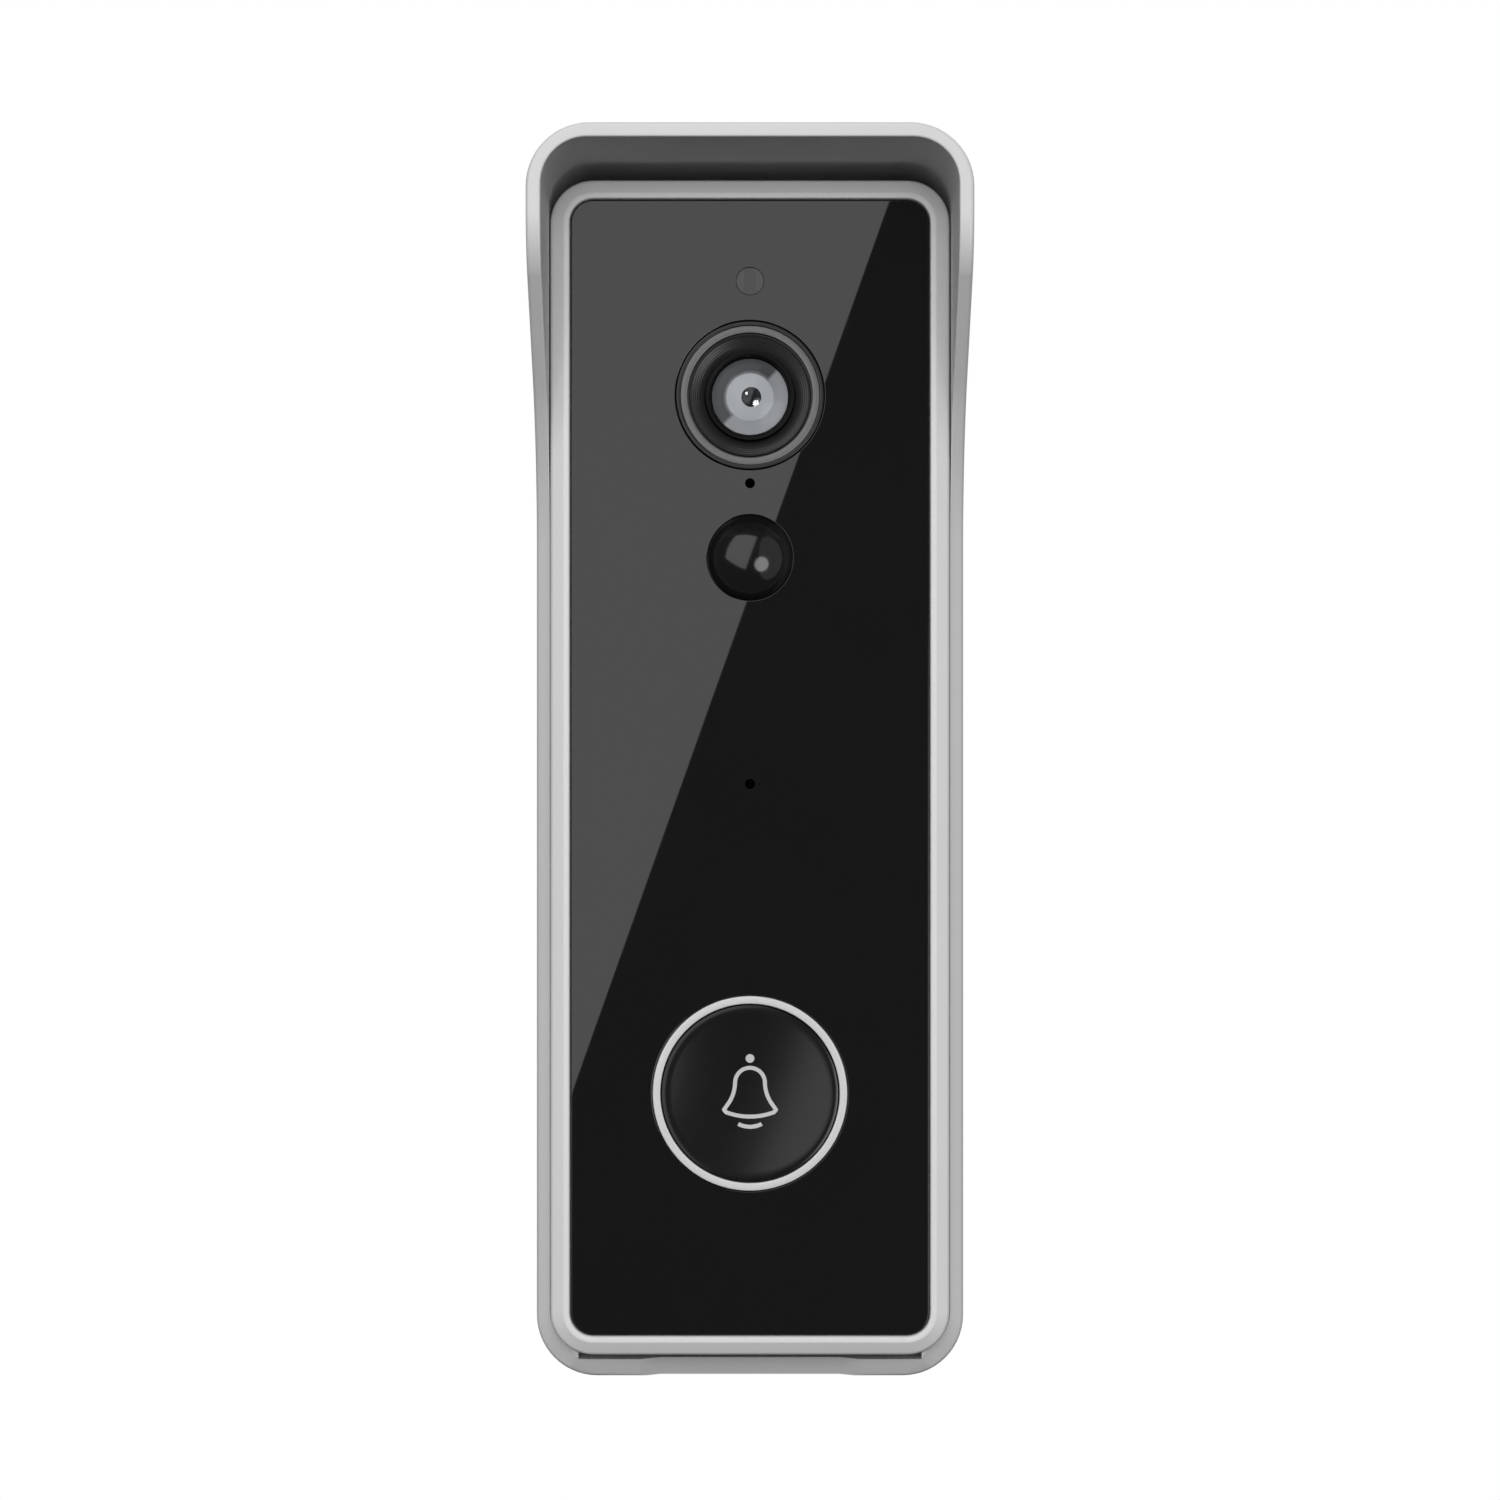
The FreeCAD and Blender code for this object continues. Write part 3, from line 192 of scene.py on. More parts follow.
def choose(kind, test):
    """In edit mode, selects only the vertices, edges or faces that pass the test."""
    item = bpy.context.object
    bpy.ops.mesh.select_mode(type=kind)
    bpy.ops.mesh.select_all(action="DESELECT")
    mesh = bmesh.from_edit_mesh(item.data)
    for part in {"VERT": mesh.verts, "EDGE": mesh.edges, "FACE": mesh.faces}[kind]:
        part.select_set(bool(test(part)))
    mesh.select_flush_mode()
    bmesh.update_edit_mesh(item.data)


def edit(item, kind, test):
    """Opens a piece in edit mode with only the parts that pass the test selected."""
    make_active(item)
    go_to("EDIT")
    choose(kind, test)


def close_shell():
    """In edit mode: merges doubles, turns the faces outwards and goes back to object mode."""
    select_all()
    bpy.ops.mesh.remove_doubles(threshold=0.001 * MM)
    bpy.ops.mesh.normals_make_consistent(inside=False)
    go_to("OBJECT")


def settle(item):
    """Puts the piece's place into its mesh."""
    make_active(item)
    bpy.ops.object.transform_apply(location=True, rotation=True, scale=True)
    return item


def named(name):
    item = bpy.context.object
    item.name = item.data.name = name
    return item


def start_outline(name, wide, tall, corner, depth, z=0, steps=14):
    """A flat outline with round corners that faces the front, left in edit mode and selected."""
    clear_selection()
    bpy.ops.mesh.primitive_plane_add(size=1, location=(0, -depth, z), rotation=(FRONT_VIEW, 0, 0))
    item = named(name)
    item.scale = (wide, tall, 1)
    settle(item)
    go_to("EDIT")
    select_all()
    bpy.ops.mesh.bevel(affect="VERTICES", offset=corner, segments=steps, profile=0.5)
    bpy.ops.mesh.select_mode(type="FACE")
    select_all()
    return item


def pull(along_x=0, forward=0):
    """Extrudes the selected faces."""
    bpy.ops.mesh.extrude_region_move(TRANSFORM_OT_translate={"value": (along_x, -forward, 0)})


def inset(inward, forward=0):
    """Insets the selected faces and moves them forward."""
    bpy.ops.mesh.inset(thickness=inward, depth=forward, use_even_offset=True)


def slab(name, wide, tall, corner, back, front, z=0, steps=14):
    """A block with round corners between two depths."""
    item = start_outline(name, wide, tall, corner, back, z, steps)
    pull(forward=front - back)
    close_shell()
    return item


def box(name, x, depth, z):
    """A block between pairs of values along each axis."""
    clear_selection()
    bpy.ops.mesh.primitive_cube_add(size=1, location=(sum(x) / 2, -sum(depth) / 2, sum(z) / 2))
    item = named(name)
    item.scale = (x[1] - x[0], depth[1] - depth[0], z[1] - z[0])
    return settle(item)


def peg(name, radius, back, front, z, far_radius=None):
    """A round tool along Y, with another radius at its front if one is given."""
    clear_selection()
    bpy.ops.mesh.primitive_cone_add(vertices=96, radius1=radius, radius2=far_radius or radius,
                                    depth=front - back, location=(0, -(front + back) / 2, z),
                                    rotation=(FRONT_VIEW, 0, 0))
    return settle(named(name))


def upright(name, radius, low, high, depth, steps=48):
    """A round tool along Z."""
    clear_selection()
    bpy.ops.mesh.primitive_cylinder_add(vertices=steps, radius=radius, depth=high - low,
                                        location=(0, -depth, (high + low) / 2))
    return settle(named(name))


def modify(item, kind, **settings):
    """Adds a modifier, sets it up and applies it."""
    make_active(item)
    bpy.ops.object.modifier_add(type=kind)
    change = item.modifiers[-1]
    for key, value in settings.items():
        setattr(change, key, value)
    bpy.ops.object.modifier_apply(modifier=change.name)


def shape_with(item, tools, operation="DIFFERENCE"):
    """Cuts each tool out of the piece, or joins it on, and takes the tools away."""
    for tool in tools:
        modify(item, "BOOLEAN", operation=operation, solver="EXACT", object=tool)
        bpy.data.objects.remove(tool, do_unlink=True)


def round_edges(item, width, test, steps=4):
    """Rounds the sharp edges that pass the test."""
    sharp = math.radians(28)
    edit(item, "EDGE",
         lambda edge: edge.is_manifold and edge.calc_face_angle() > sharp and test(edge))
    bpy.ops.mesh.bevel(affect="EDGES", offset=width, segments=steps, profile=0.5,
                       clamp_overlap=True)
    go_to("OBJECT")


def soften(item, width, steps=3, angle=30):
    """Rounds every sharp edge a little."""
    modify(item, "BEVEL", width=width, segments=steps, limit_method="ANGLE",
           angle_limit=math.radians(angle))


def smooth(item, angle):
    """Smooth shading that leaves flat faces flat."""
    make_active(item)
    bpy.ops.object.shade_smooth_by_angle(angle=math.radians(angle))
    modify(item, "WEIGHTED_NORMAL", keep_sharp=True, weight=100)


def turned(name, section, z, steps=128, x=0):
    """A piece turned about a line along Y: section holds (radius, depth) corners, in order.

    A section that starts and ends on the line is solid; any other one is closed into a ring."""
    centre = Vector((x, 0, z))
    solid = section[0][0] == 0
    radius, depth = section[1] if solid else section[0]
    clear_selection()
    bpy.ops.mesh.primitive_circle_add(vertices=steps, radius=radius, location=(x, -depth, z),
                                      rotation=(FRONT_VIEW, 0, 0))
    item = settle(named(name))
    go_to("EDIT")
    bpy.ops.mesh.select_mode(type="EDGE")
    select_all()
    if solid:
        bpy.ops.mesh.edge_face_add()
        choose("EDGE", lambda edge: True)
    for next_radius, next_depth in (section[2:-1] if solid else section[1:] + section[:1]):
        bpy.ops.mesh.extrude_edges_move(TRANSFORM_OT_translate={"value": (0, depth - next_depth, 0)})
        stretch = next_radius / radius
        bpy.ops.transform.resize(value=(stretch, 1, stretch), center_override=centre)
        radius, depth = next_radius, next_depth
    if solid:
        bpy.ops.mesh.edge_face_add()
    close_shell()
    return item


def finish_piece(item, body, look, *nodes, slot=None, angle=35):
    """Smooths a piece and gives it its finish, body and the packed parts that it stands for."""
    smooth(item, angle)
    item.data.materials.clear()
    item.data.materials.append(all_finishes()[look])
    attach(item, body)
    if nodes:
        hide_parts(*nodes)


# ---- finishes
def set_span(node, start, end, low, high):
    """Sets the two spans of a Map Range node."""
    for label, number in zip(("From Min", "From Max", "To Min", "To Max"), (start, end, low, high)):
        node.inputs[label].default_value = number


class Finish:
    """A node material that is built up step by step."""

    def __init__(self, name, base, rough, metal=0.0):
        self.material = bpy.data.materials.new(name)
        self.material.use_nodes = True
        self.tree = self.material.node_tree
        self.shader = self.tree.nodes["Principled BSDF"]
        self.shader.inputs["Base Color"].default_value = (*base, 1)
        self.shader.inputs["Roughness"].default_value = rough
        self.shader.inputs["Metallic"].default_value = metal
        self.base, self.rough = base, rough
        self.place = self.tree.nodes.new("ShaderNodeTexCoord").outputs["Object"]

    def node(self, kind, **values):
        """A node with its inputs set or linked by name and its options set by lower-case name."""
        made = self.tree.nodes.new(f"ShaderNode{kind}")
        for key, value in values.items():
            if key in made.inputs:
                self.feed(made.inputs[key], value)
            else:
                setattr(made, key, value)
        return made

    def feed(self, socket, value):
        if isinstance(value, bpy.types.NodeSocket):
            self.tree.links.new(value, socket)
        else:
            socket.default_value = value

    def stretched(self, x=1, y=1, z=1, centre=(0, 0, 0)):
        """The place on the piece, from a centre and scaled along each axis."""
        shift = self.node("VectorMath", operation="SUBTRACT")
        self.feed(shift.inputs[0], self.place)
        self.feed(shift.inputs[1], centre)
        scale = self.node("VectorMath", operation="MULTIPLY")
        self.feed(scale.inputs[0], shift.outputs[0])
        self.feed(scale.inputs[1], (x, y, z))
        return scale.outputs[0]

    def noise(self, per_metre, detail=3, place=None):
        return self.node("TexNoise", Vector=place or self.place, Scale=per_metre, Detail=detail,
                         Roughness=0.5).outputs["Fac"]

    def cells(self, per_metre):
        return self.node("TexVoronoi", Vector=self.place, Scale=per_metre,
                         feature="F1").outputs["Distance"]

    def from_camera_line(self):
        """The distance from the middle line of the camera."""
        across = self.node("VectorMath", operation="LENGTH")
        self.feed(across.inputs[0], self.stretched(1, 0, 1, (0, 0, CAMERA_Z)))
        return across.outputs["Value"]

    def rings(self, across, per_metre, detail):
        """Noise that changes only with a distance, as a lathe leaves it."""
        made = self.node("TexNoise", noise_dimensions="1D", Detail=detail, Scale=per_metre)
        self.feed(made.inputs["W"], across)
        return made.outputs["Fac"]

    def spread(self, value, low, high, start=0.0, end=1.0):
        """Maps a value from start..end to low..high."""
        made = self.node("MapRange", Value=value)
        set_span(made, start, end, low, high)
        return made.outputs["Result"]

    def maths(self, operation, first, second=0.0):
        made = self.node("Math", operation=operation)
        self.feed(made.inputs[0], first)
        self.feed(made.inputs[1], second)
        return made.outputs[0]

    def shade(self, value, dark, light):
        """Varies the base colour between two tones of it."""
        ramp = self.node("ValToRGB", Fac=value)
        for stop, tone in zip(ramp.color_ramp.elements, (dark, light)):
            stop.color = (*[min(1, part * tone) for part in self.base], 1)
        self.feed(self.shader.inputs["Base Color"], ramp.outputs["Color"])
        return self

    def paint(self, value, other, start=0.45, end=0.55):
        """Paints a second colour where the value is high."""
        mix = self.node("Mix", data_type="RGBA")
        self.feed(mix.inputs["Factor"], self.spread(value, 0, 1, start, end))
        now = self.shader.inputs["Base Color"]
        before = now.links[0].from_socket if now.links else (*self.base, 1)
        self.feed(mix.inputs[6], before)
        self.feed(mix.inputs[7], (*other, 1))
        self.feed(now, mix.outputs[2])
        return self

    def rub(self, value, low, high):
        """Varies the roughness."""
        self.feed(self.shader.inputs["Roughness"], self.spread(value, low, high))
        return self

    def bump(self, value, height, strength=1.0):
        """Adds a relief on top of the ones before it."""
        made = self.node("Bump", Strength=strength, Distance=height, Height=value)
        now = self.shader.inputs["Normal"]
        if now.links:
            self.feed(made.inputs["Normal"], now.links[0].from_socket)
        self.feed(now, made.outputs["Normal"])
        return self

    def set(self, **values):
        """Sets the shader's own sockets, with _ for a space in a name."""
        for key, value in values.items():
            self.shader.inputs[key.replace("_", " ")].default_value = value
        return self


def satin_silver(name, base):
    finish = Finish(name, base, 0.42)
    grain, cloud = finish.noise(9000, 4), finish.noise(45, 2)
    finish.shade(cloud, 0.975, 1.02).rub(finish.noise(2600, 3), 0.36, 0.48)
    return finish.bump(grain, 0.012 * MM, 0.5).bump(finish.cells(5200), 0.008 * MM, 0.35).material


def noisy(name, base, rough, tone, wear=None, grain=None, **own):
    """A finish of noises: each is given as its scale, its detail and the two values it sets."""
    finish = Finish(name, base, rough).set(**own)
    finish.shade(finish.noise(*tone[:2]), *tone[2:])
    if wear:
        finish.rub(finish.noise(*wear[:2]), *wear[2:])
    if grain:
        finish.bump(finish.noise(*grain[:2]), *grain[2:])
    return finish.material


def satin_black(tones, name, rough, sheen=0.5):
    """Black with a soft sheen, for the dished cap, the sensor's dome and the camera's bezel."""
    return noisy(name, tones.black, rough, (60, 2, 0.9, 1.1), (900, 5, rough - 0.02, rough + 0.02),
                 (9000, 2, 0.001 * MM, 0.2), Specular_IOR_Level=sheen)


def turned_grey(tones):
    finish = Finish("Turned grey ring", tones.grey_ring, 0.34, 0.25)
    around = finish.node("TexGradient", gradient_type="RADIAL",
                         Vector=finish.stretched(centre=(0, 0, CAMERA_Z))).outputs["Fac"]
    lathe = finish.rings(finish.from_camera_line(), 22000.0, 4.0)
    finish.shade(finish.maths("ADD", lathe, finish.maths("MULTIPLY", around, 0.1)), 0.82, 1.12)
    return finish.rub(lathe, 0.28, 0.42).bump(lathe, 0.004 * MM, 0.5).material


def smoked_window(tones):
    """Smoked plastic: a darker strip up the middle and a small dark slot near the top."""
    finish = Finish("Smoked sensor window", tones.smoked, 0.10)
    spot = finish.node("SeparateXYZ", Vector=finish.stretched(centre=(0, 0, WINDOW_Z)))
    across = finish.maths("ABSOLUTE", spot.outputs["X"])
    finish.paint(finish.maths("LESS_THAN", across, 0.72 * MM), [part * 0.62 for part in tones.smoked])
    high = finish.maths("GREATER_THAN", spot.outputs["Z"], 1.5 * MM)
    narrow = finish.maths("LESS_THAN", across, 0.5 * MM)
    finish.paint(finish.maths("MULTIPLY", high, narrow), (0.0008, 0.0008, 0.0008))
    return finish.rub(finish.noise(1400, 3), 0.06, 0.14).material


def milky_light(name, base):
    return noisy(name, base, 0.32, (350, 3, 0.97, 1.02), (2400, 3, 0.26, 0.38),
                 (7000, 2, 0.004 * MM, 0.3), Subsurface_Weight=0.1,
                 Subsurface_Radius=(0.0008, 0.0008, 0.0008), Subsurface_Scale=1.0)


def clear_lens():
    """Coated glass: clear from the front, with gloss that grows towards its edge."""
    finish = Finish("Coated lens glass", (0.02, 0.022, 0.026), 0.02)
    finish.rub(finish.noise(700, 3), 0.01, 0.03).set(Coat_Weight=0.4)
    clear = finish.node("BsdfTransparent", Color=(0.93, 0.94, 0.95, 1))
    edge = finish.node("LayerWeight", Blend=0.18)
    mix = finish.node("MixShader")
    finish.feed(mix.inputs[0], finish.spread(edge.outputs["Facing"], 0.09, 0.7))
    finish.feed(mix.inputs[1], clear.outputs[0])
    finish.feed(mix.inputs[2], finish.shader.outputs[0])
    finish.feed(finish.tree.nodes["Material Output"].inputs["Surface"], mix.outputs[0])
    return finish.material


def baffle_grey():
    """Coated ring round the pale element: its lower right half is pale, the other half dark."""
    finish = Finish("Lens baffle", (0.115, 0.115, 0.118), 0.5)
    across = finish.from_camera_line()
    spot = finish.node("SeparateXYZ", Vector=finish.stretched(centre=(0, 0, CAMERA_Z)))
    slant = finish.maths("SUBTRACT", spot.outputs["X"], spot.outputs["Z"])
    painted_reflection = finish.maths("MAXIMUM", finish.spread(slant, 0, 1, -0.25 * MM, 0.35 * MM),
                        finish.spread(across, 0, 1, 3.25 * MM, 2.75 * MM))
    rings = finish.rings(across, 4200.0, 3.0)
    # Painted reflection: light grey is painted on the ring's lower right half and inner edge,
    # standing for the reflection in the lens.
    finish.shade(rings, 0.9, 1.1).paint(painted_reflection, (0.60, 0.60, 0.605), 0, 1)
    return finish.bump(rings, 0.004 * MM, 0.4).material


def moulded(name, base, rough=0.5):
    """Finely sparked moulded plastic."""
    finish = Finish(name, base, rough)
    finish.shade(finish.noise(70, 3), 0.9, 1.1)
    finish.rub(finish.noise(1800, 4), rough - 0.08, rough + 0.1)
    finish.bump(finish.cells(3200), 0.015 * MM, 0.5)
    return finish.bump(finish.noise(9000, 3), 0.006 * MM, 0.4).material


def plated_steel():
    finish = Finish("Plated steel", (0.62, 0.62, 0.61), 0.3, 1.0)
    streak = finish.noise(1.0, 5, finish.stretched(900, 9000, 900))
    finish.shade(finish.noise(160, 3), 0.86, 1.08).rub(streak, 0.2, 0.42)
    return finish.bump(streak, 0.003 * MM, 0.5).material


def turned_brass():
    finish = Finish("Turned brass", (0.72, 0.52, 0.24), 0.28, 1.0)
    lathe = finish.noise(1.0, 4, finish.stretched(300, 300, 12000))
    finish.shade(finish.noise(400, 3), 0.85, 1.1).rub(lathe, 0.2, 0.4)
    return finish.bump(lathe, 0.004 * MM, 0.6).material


def green_board():
    """Solder mask over copper tracks, with plated pads."""
    finish = Finish("Circuit board", (0.012, 0.085, 0.042), 0.34)
    tracks = finish.node("TexBrick", Vector=finish.stretched(1, 1, 1), Scale=380.0).outputs["Fac"]
    finish.shade(finish.noise(120, 2), 0.85, 1.15).paint(tracks, (0.03, 0.17, 0.09), 0.3, 0.7)
    pads = finish.spread(finish.cells(420), 1, 0, 0.12, 0.16)
    finish.paint(pads, (0.62, 0.55, 0.35)).rub(finish.noise(900, 3), 0.28, 0.42)
    return finish.bump(tracks, 0.02 * MM, 0.5).bump(pads, 0.01 * MM, 0.5).material


def cell_wrap():
    """Shrink wrap: faint lengthwise creases and a paler band."""
    finish = Finish("Cell wrap", (0.05, 0.16, 0.30), 0.3)
    spot = finish.node("SeparateXYZ", Vector=finish.place)
    wave = finish.maths("SINE", finish.maths("MULTIPLY", spot.outputs["Z"], 95.0))
    band = finish.maths("GREATER_THAN", wave, 0.93)
    crease = finish.noise(1.0, 4, finish.stretched(700, 700, 60))
    finish.shade(crease, 0.85, 1.15).paint(band, (0.55, 0.6, 0.65)).rub(crease, 0.22, 0.4)
    return finish.bump(crease, 0.03 * MM, 0.5).material


def flex_film():
    """Amber film with fine copper lines."""
    finish = Finish("Flexible film", (0.42, 0.20, 0.045), 0.35)
    lines = finish.node("TexWave", Vector=finish.place, Scale=700.0, Distortion=0.0).outputs["Fac"]
    finish.shade(finish.noise(200, 2), 0.85, 1.15).paint(lines, (0.62, 0.34, 0.12), 0.6, 0.8)
    return finish.rub(finish.noise(800, 2), 0.28, 0.42).bump(lines, 0.008 * MM, 0.5).material


def slot_finishes(tones):
    """One finish for each material slot of the packed record."""
    return {
        "silver_plastic": satin_silver("Satin silver plastic", tones.silver),
        "black_gloss": noisy("Polished black", tones.black, 0.04, (60, 2, 0.9, 1.1),
                             (900, 5, 0.015, 0.045), (20, 2, 0.002 * MM, 0.12)),
        "dark_plastic": moulded("Dark moulded plastic", (0.032, 0.032, 0.034)),
        "grey_metal": turned_grey(tones),
        "lens_glass": clear_lens(),
        "smoked_window": smoked_window(tones),
        "light_guide": milky_light("Milky light guide", tones.light_ring),
        "rubber": noisy("Soft rubber", (0.018, 0.018, 0.019), 0.72, (240, 4, 0.8, 1.25),
                        (1300, 3, 0.62, 0.82), (6500, 4, 0.012 * MM, 0.6)),
        "circuit_board": green_board(),
        "steel": plated_steel(),
        "brass": turned_brass(),
        "cell_wrap": cell_wrap(),
        "flex_film": flex_film(),
        "white_plastic": moulded("Pale moulded plastic", (0.62, 0.62, 0.59), 0.42),
    }


# ---- the outside pieces
def outline_gap(point, wide, tall, corner, z=0):
    """How far a point lies outside an outline with round corners; 0 is on it."""
    across = max(abs(point.x) - (wide / 2 - corner), 0)
    up = max(abs(point.z - z) - (tall / 2 - corner), 0)
    if across and up:
        return math.hypot(across, up) - corner
    return max(abs(point.x) - wide / 2, abs(point.z - z) - tall / 2)


def on_outline(wide, tall, corner, z=0):
    """A test for edges that lie on such an outline."""
    slack = 0.04 * MM
    return lambda edge: all(abs(outline_gap(vert.co, wide, tall, corner, z)) < slack
                            for vert in edge.verts)


def hood_tool(shape):
    """Everything in front of the rim, from the side: level, then sweeping forward to the hood."""
    clear_selection()
    top, past = COVER_TALL / 2, 20 * MM
    rim, nose = shape.rim_depth, HOOD_DEPTH + 0.001 * MM
    bpy.ops.mesh.primitive_plane_add(size=1, rotation=(0, FRONT_VIEW, 0),
                                     location=(-COVER_WIDE, 0, 0))
    item = settle(named("hood_tool"))
    corners = sorted(item.data.vertices, key=lambda vert: (vert.co.y, vert.co.z))
    for vert, (depth, z) in zip(corners, [(nose + past, -top - past), (nose + past, top + past),
                                          (rim, -top - past), (nose, top + past)]):
        vert.co = (-COVER_WIDE, -depth, z)
    go_to("EDIT")
    choose("EDGE", lambda edge: all(vert.co.y > -nose - past / 2 for vert in edge.verts))
    bpy.ops.mesh.subdivide(number_cuts=2)
    go_to("OBJECT")
    inner = sorted((vert for vert in item.data.vertices if abs(vert.co.z) < top),
                   key=lambda vert: vert.co.z)
    for vert, (depth, z) in zip(inner, [(rim, top - shape.hood_start), (nose, top - shape.hood_end)]):
        vert.co = (-COVER_WIDE, -depth, z)
    go_to("EDIT")
    lower_sweep, upper_sweep = 10.6 * MM, 3.9 * MM
    for height, reach in ((top - shape.hood_start, lower_sweep), (top - shape.hood_end, upper_sweep)):
        choose("VERT", lambda vert: abs(vert.co.z - height) < 0.01 * MM)
        bpy.ops.mesh.bevel(affect="VERTICES", offset=reach, segments=14, profile=0.5)
    bpy.ops.mesh.select_mode(type="FACE")
    select_all()
    pull(along_x=2 * COVER_WIDE)
    close_shell()
    return item


def tilt_rim(cover, shape):
    """Lets the rim fall back towards its outer edge; the tilt fades out where the hood begins."""
    def on_rim(face):
        return (face.normal.y < -0.99
                and abs(face.calc_center_median().y + shape.rim_depth) < 0.01 * MM)

    edit(cover, "FACE", on_rim)
    bpy.ops.mesh.quads_convert_to_tris()
    bpy.ops.mesh.tris_convert_to_quads(face_threshold=0.7, shape_threshold=3)
    low, high = COVER_TALL / 2 - shape.hood_start, COVER_TALL / 2 - shape.hood_end

    def on_edge(vert):
        return (abs(outline_gap(vert.co, COVER_WIDE, COVER_TALL, shape.cover_corner)) < 0.02 * MM
                and vert.co.y < 2 * MM - shape.rim_depth)

    heights = sorted({round(vert.co.z, 7) for vert in cover.data.vertices if on_edge(vert)})
    bands = [(-COVER_TALL, low, 1)]
    bands += [(z - 1e-7, z + 1e-7, (high - z) / (high - low)) for z in heights if low < z < high]
    for under, over, share in bands:
        choose("VERT", lambda vert: under <= vert.co.z <= over and on_edge(vert))
        bpy.ops.transform.translate(value=(0, shape.rim_tilt * share, 0))
    go_to("OBJECT")


def cover_hooks(plate):
    """The two hooks that the body hangs on."""
    hooks = []
    tip = 3 * MM - housing_high.y
    for side in (-1, 1):
        x = (side * HOOK_SIDE - HOOK_HALF, side * HOOK_SIDE + HOOK_HALF)
        hooks.append(box("hook_stem", x, (plate - 0.2 * MM, tip), (HOOK_LOW, STEM_HIGH)))
        hooks.append(box("hook_lip", x, (tip - HOOK_THICK, tip), (HOOK_LOW, HOOK_HIGH)))
    return hooks


def cover_holes(plate):
    """Tools for the holes in the cover's back plate and foot."""
    tools = []
    under = cover_low.z - PAST
    for side in (-1, 1):
        up, x = side * WALL_SCREW_UP, side * DRAIN_SIDE
        tools.append(peg("wall_hole", WALL_SCREW_BORE, -PAST, plate + PAST, up))
        tools.append(peg("wall_sink", WALL_SCREW_BORE, plate - 1.2 * MM, plate + 0.01 * MM, up,
                         WALL_SCREW_HEAD))
        tools.append(box("drain", (x - DRAIN_HALF, x + DRAIN_HALF), DRAIN_DEPTHS,
                         (under, body_low.z + 2 * MM)))
    tools.append(slab("window", *CABLE_WINDOW, -PAST, plate + PAST, CABLE_WINDOW_UP, 8))
    plunger = middle("tamper_plunger")
    way = slab("plunger_way", *PLUNGER_SLOT, -PAST, plate + PAST, plunger.z + 1 * MM, 8)
    way.location.x = plunger.x
    tools.append(settle(way))
    tools.append(upright("lock_hole", LOCK_BORE, under, body_low.z, LOCK_DEPTH))
    tools.append(upright("lock_sink", LOCK_HEAD, under, cover_low.z + 1.2 * MM, LOCK_DEPTH))
    return tools


def build_rain_cover(scene):
    """Model the rain cover: hood, rims, back plate, hooks and holes"""
    shape = scene.doorbell_shape
    wall, plate, steps = shape.cover_wall, shape.plate, shape.corner_steps
    inside_low, inside_high = body_low.z - 0.3 * MM, cover_high.z - wall
    inside_tall, inside_z = inside_high - inside_low, (inside_high + inside_low) / 2
    inside_wide, inside_corner = COVER_WIDE - 2 * wall, shape.body_corner + 0.15 * MM
    past, rim = HOOD_DEPTH + PAST, shape.rim_depth
    cover = slab("rain_cover_shell", COVER_WIDE, COVER_TALL, shape.cover_corner, 0, HOOD_DEPTH, 0,
                 steps)
    hollow = slab("hollow", inside_wide, inside_tall, inside_corner, plate, past, inside_z, steps)
    notch = box("notch", (-NOTCH_HALF, NOTCH_HALF), (plate, past),
                (inside_low - NOTCH_STEP, inside_low + NOTCH_TALL))
    foot = box("foot_scoop", (-SCOOP_HALF, SCOOP_HALF), (rim - SCOOP_DEEP, rim + PAST),
               (cover_low.z - PAST, body_low.z + 1.8 * MM))
    edit(foot, "VERT", lambda vert: vert.co.y > -rim)
    bpy.ops.transform.resize(value=(SCOOP_TAPER, 1, 1), center_override=(0, 0, 0))
    go_to("OBJECT")
    shape_with(cover, [hollow, notch, hood_tool(shape), foot])
    shape_with(cover, cover_hooks(plate), "UNION")
    shape_with(cover, cover_holes(plate))

    tilt_rim(cover, shape)
    outer = on_outline(COVER_WIDE, COVER_TALL, shape.cover_corner)
    inner = on_outline(inside_wide, inside_tall, inside_corner, inside_z)

    def along_rim(edge):
        return all(vert.co.y < -rim + 2 * MM for vert in edge.verts)

    def at_wall(edge):
        return all(vert.co.y > -0.01 * MM for vert in edge.verts)

    round_edges(cover, shape.rim_edge, lambda edge: outer(edge) and along_rim(edge), 5)
    round_edges(cover, shape.inner_edge, lambda edge: inner(edge) and along_rim(edge), 3)
    round_edges(cover, 0.4 * MM, lambda edge: outer(edge) and at_wall(edge))
    finish_piece(cover, "cover", "cover", "rain_cover", slot="silver_plastic")


def build_lock_screw(scene):
    """Model the screw that locks the body into the cover"""
    low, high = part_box("lock_screw")
    depth, head = -middle("lock_screw").y, radius_of("lock_screw")
    screw = upright("lock_screw_turned", head, low.z, low.z + 1.1 * MM, depth, 64)
    shape_with(screw, [upright("shank", 1.25 * MM, low.z + 0.9 * MM, high.z, depth)], "UNION")
    shape_with(screw, [upright("socket", 0.95 * MM, low.z - PAST, low.z + 0.7 * MM, depth, 6)])
    soften(screw, 0.12 * MM)
    finish_piece(screw, "cover", "steel", "lock_screw", slot="steel")


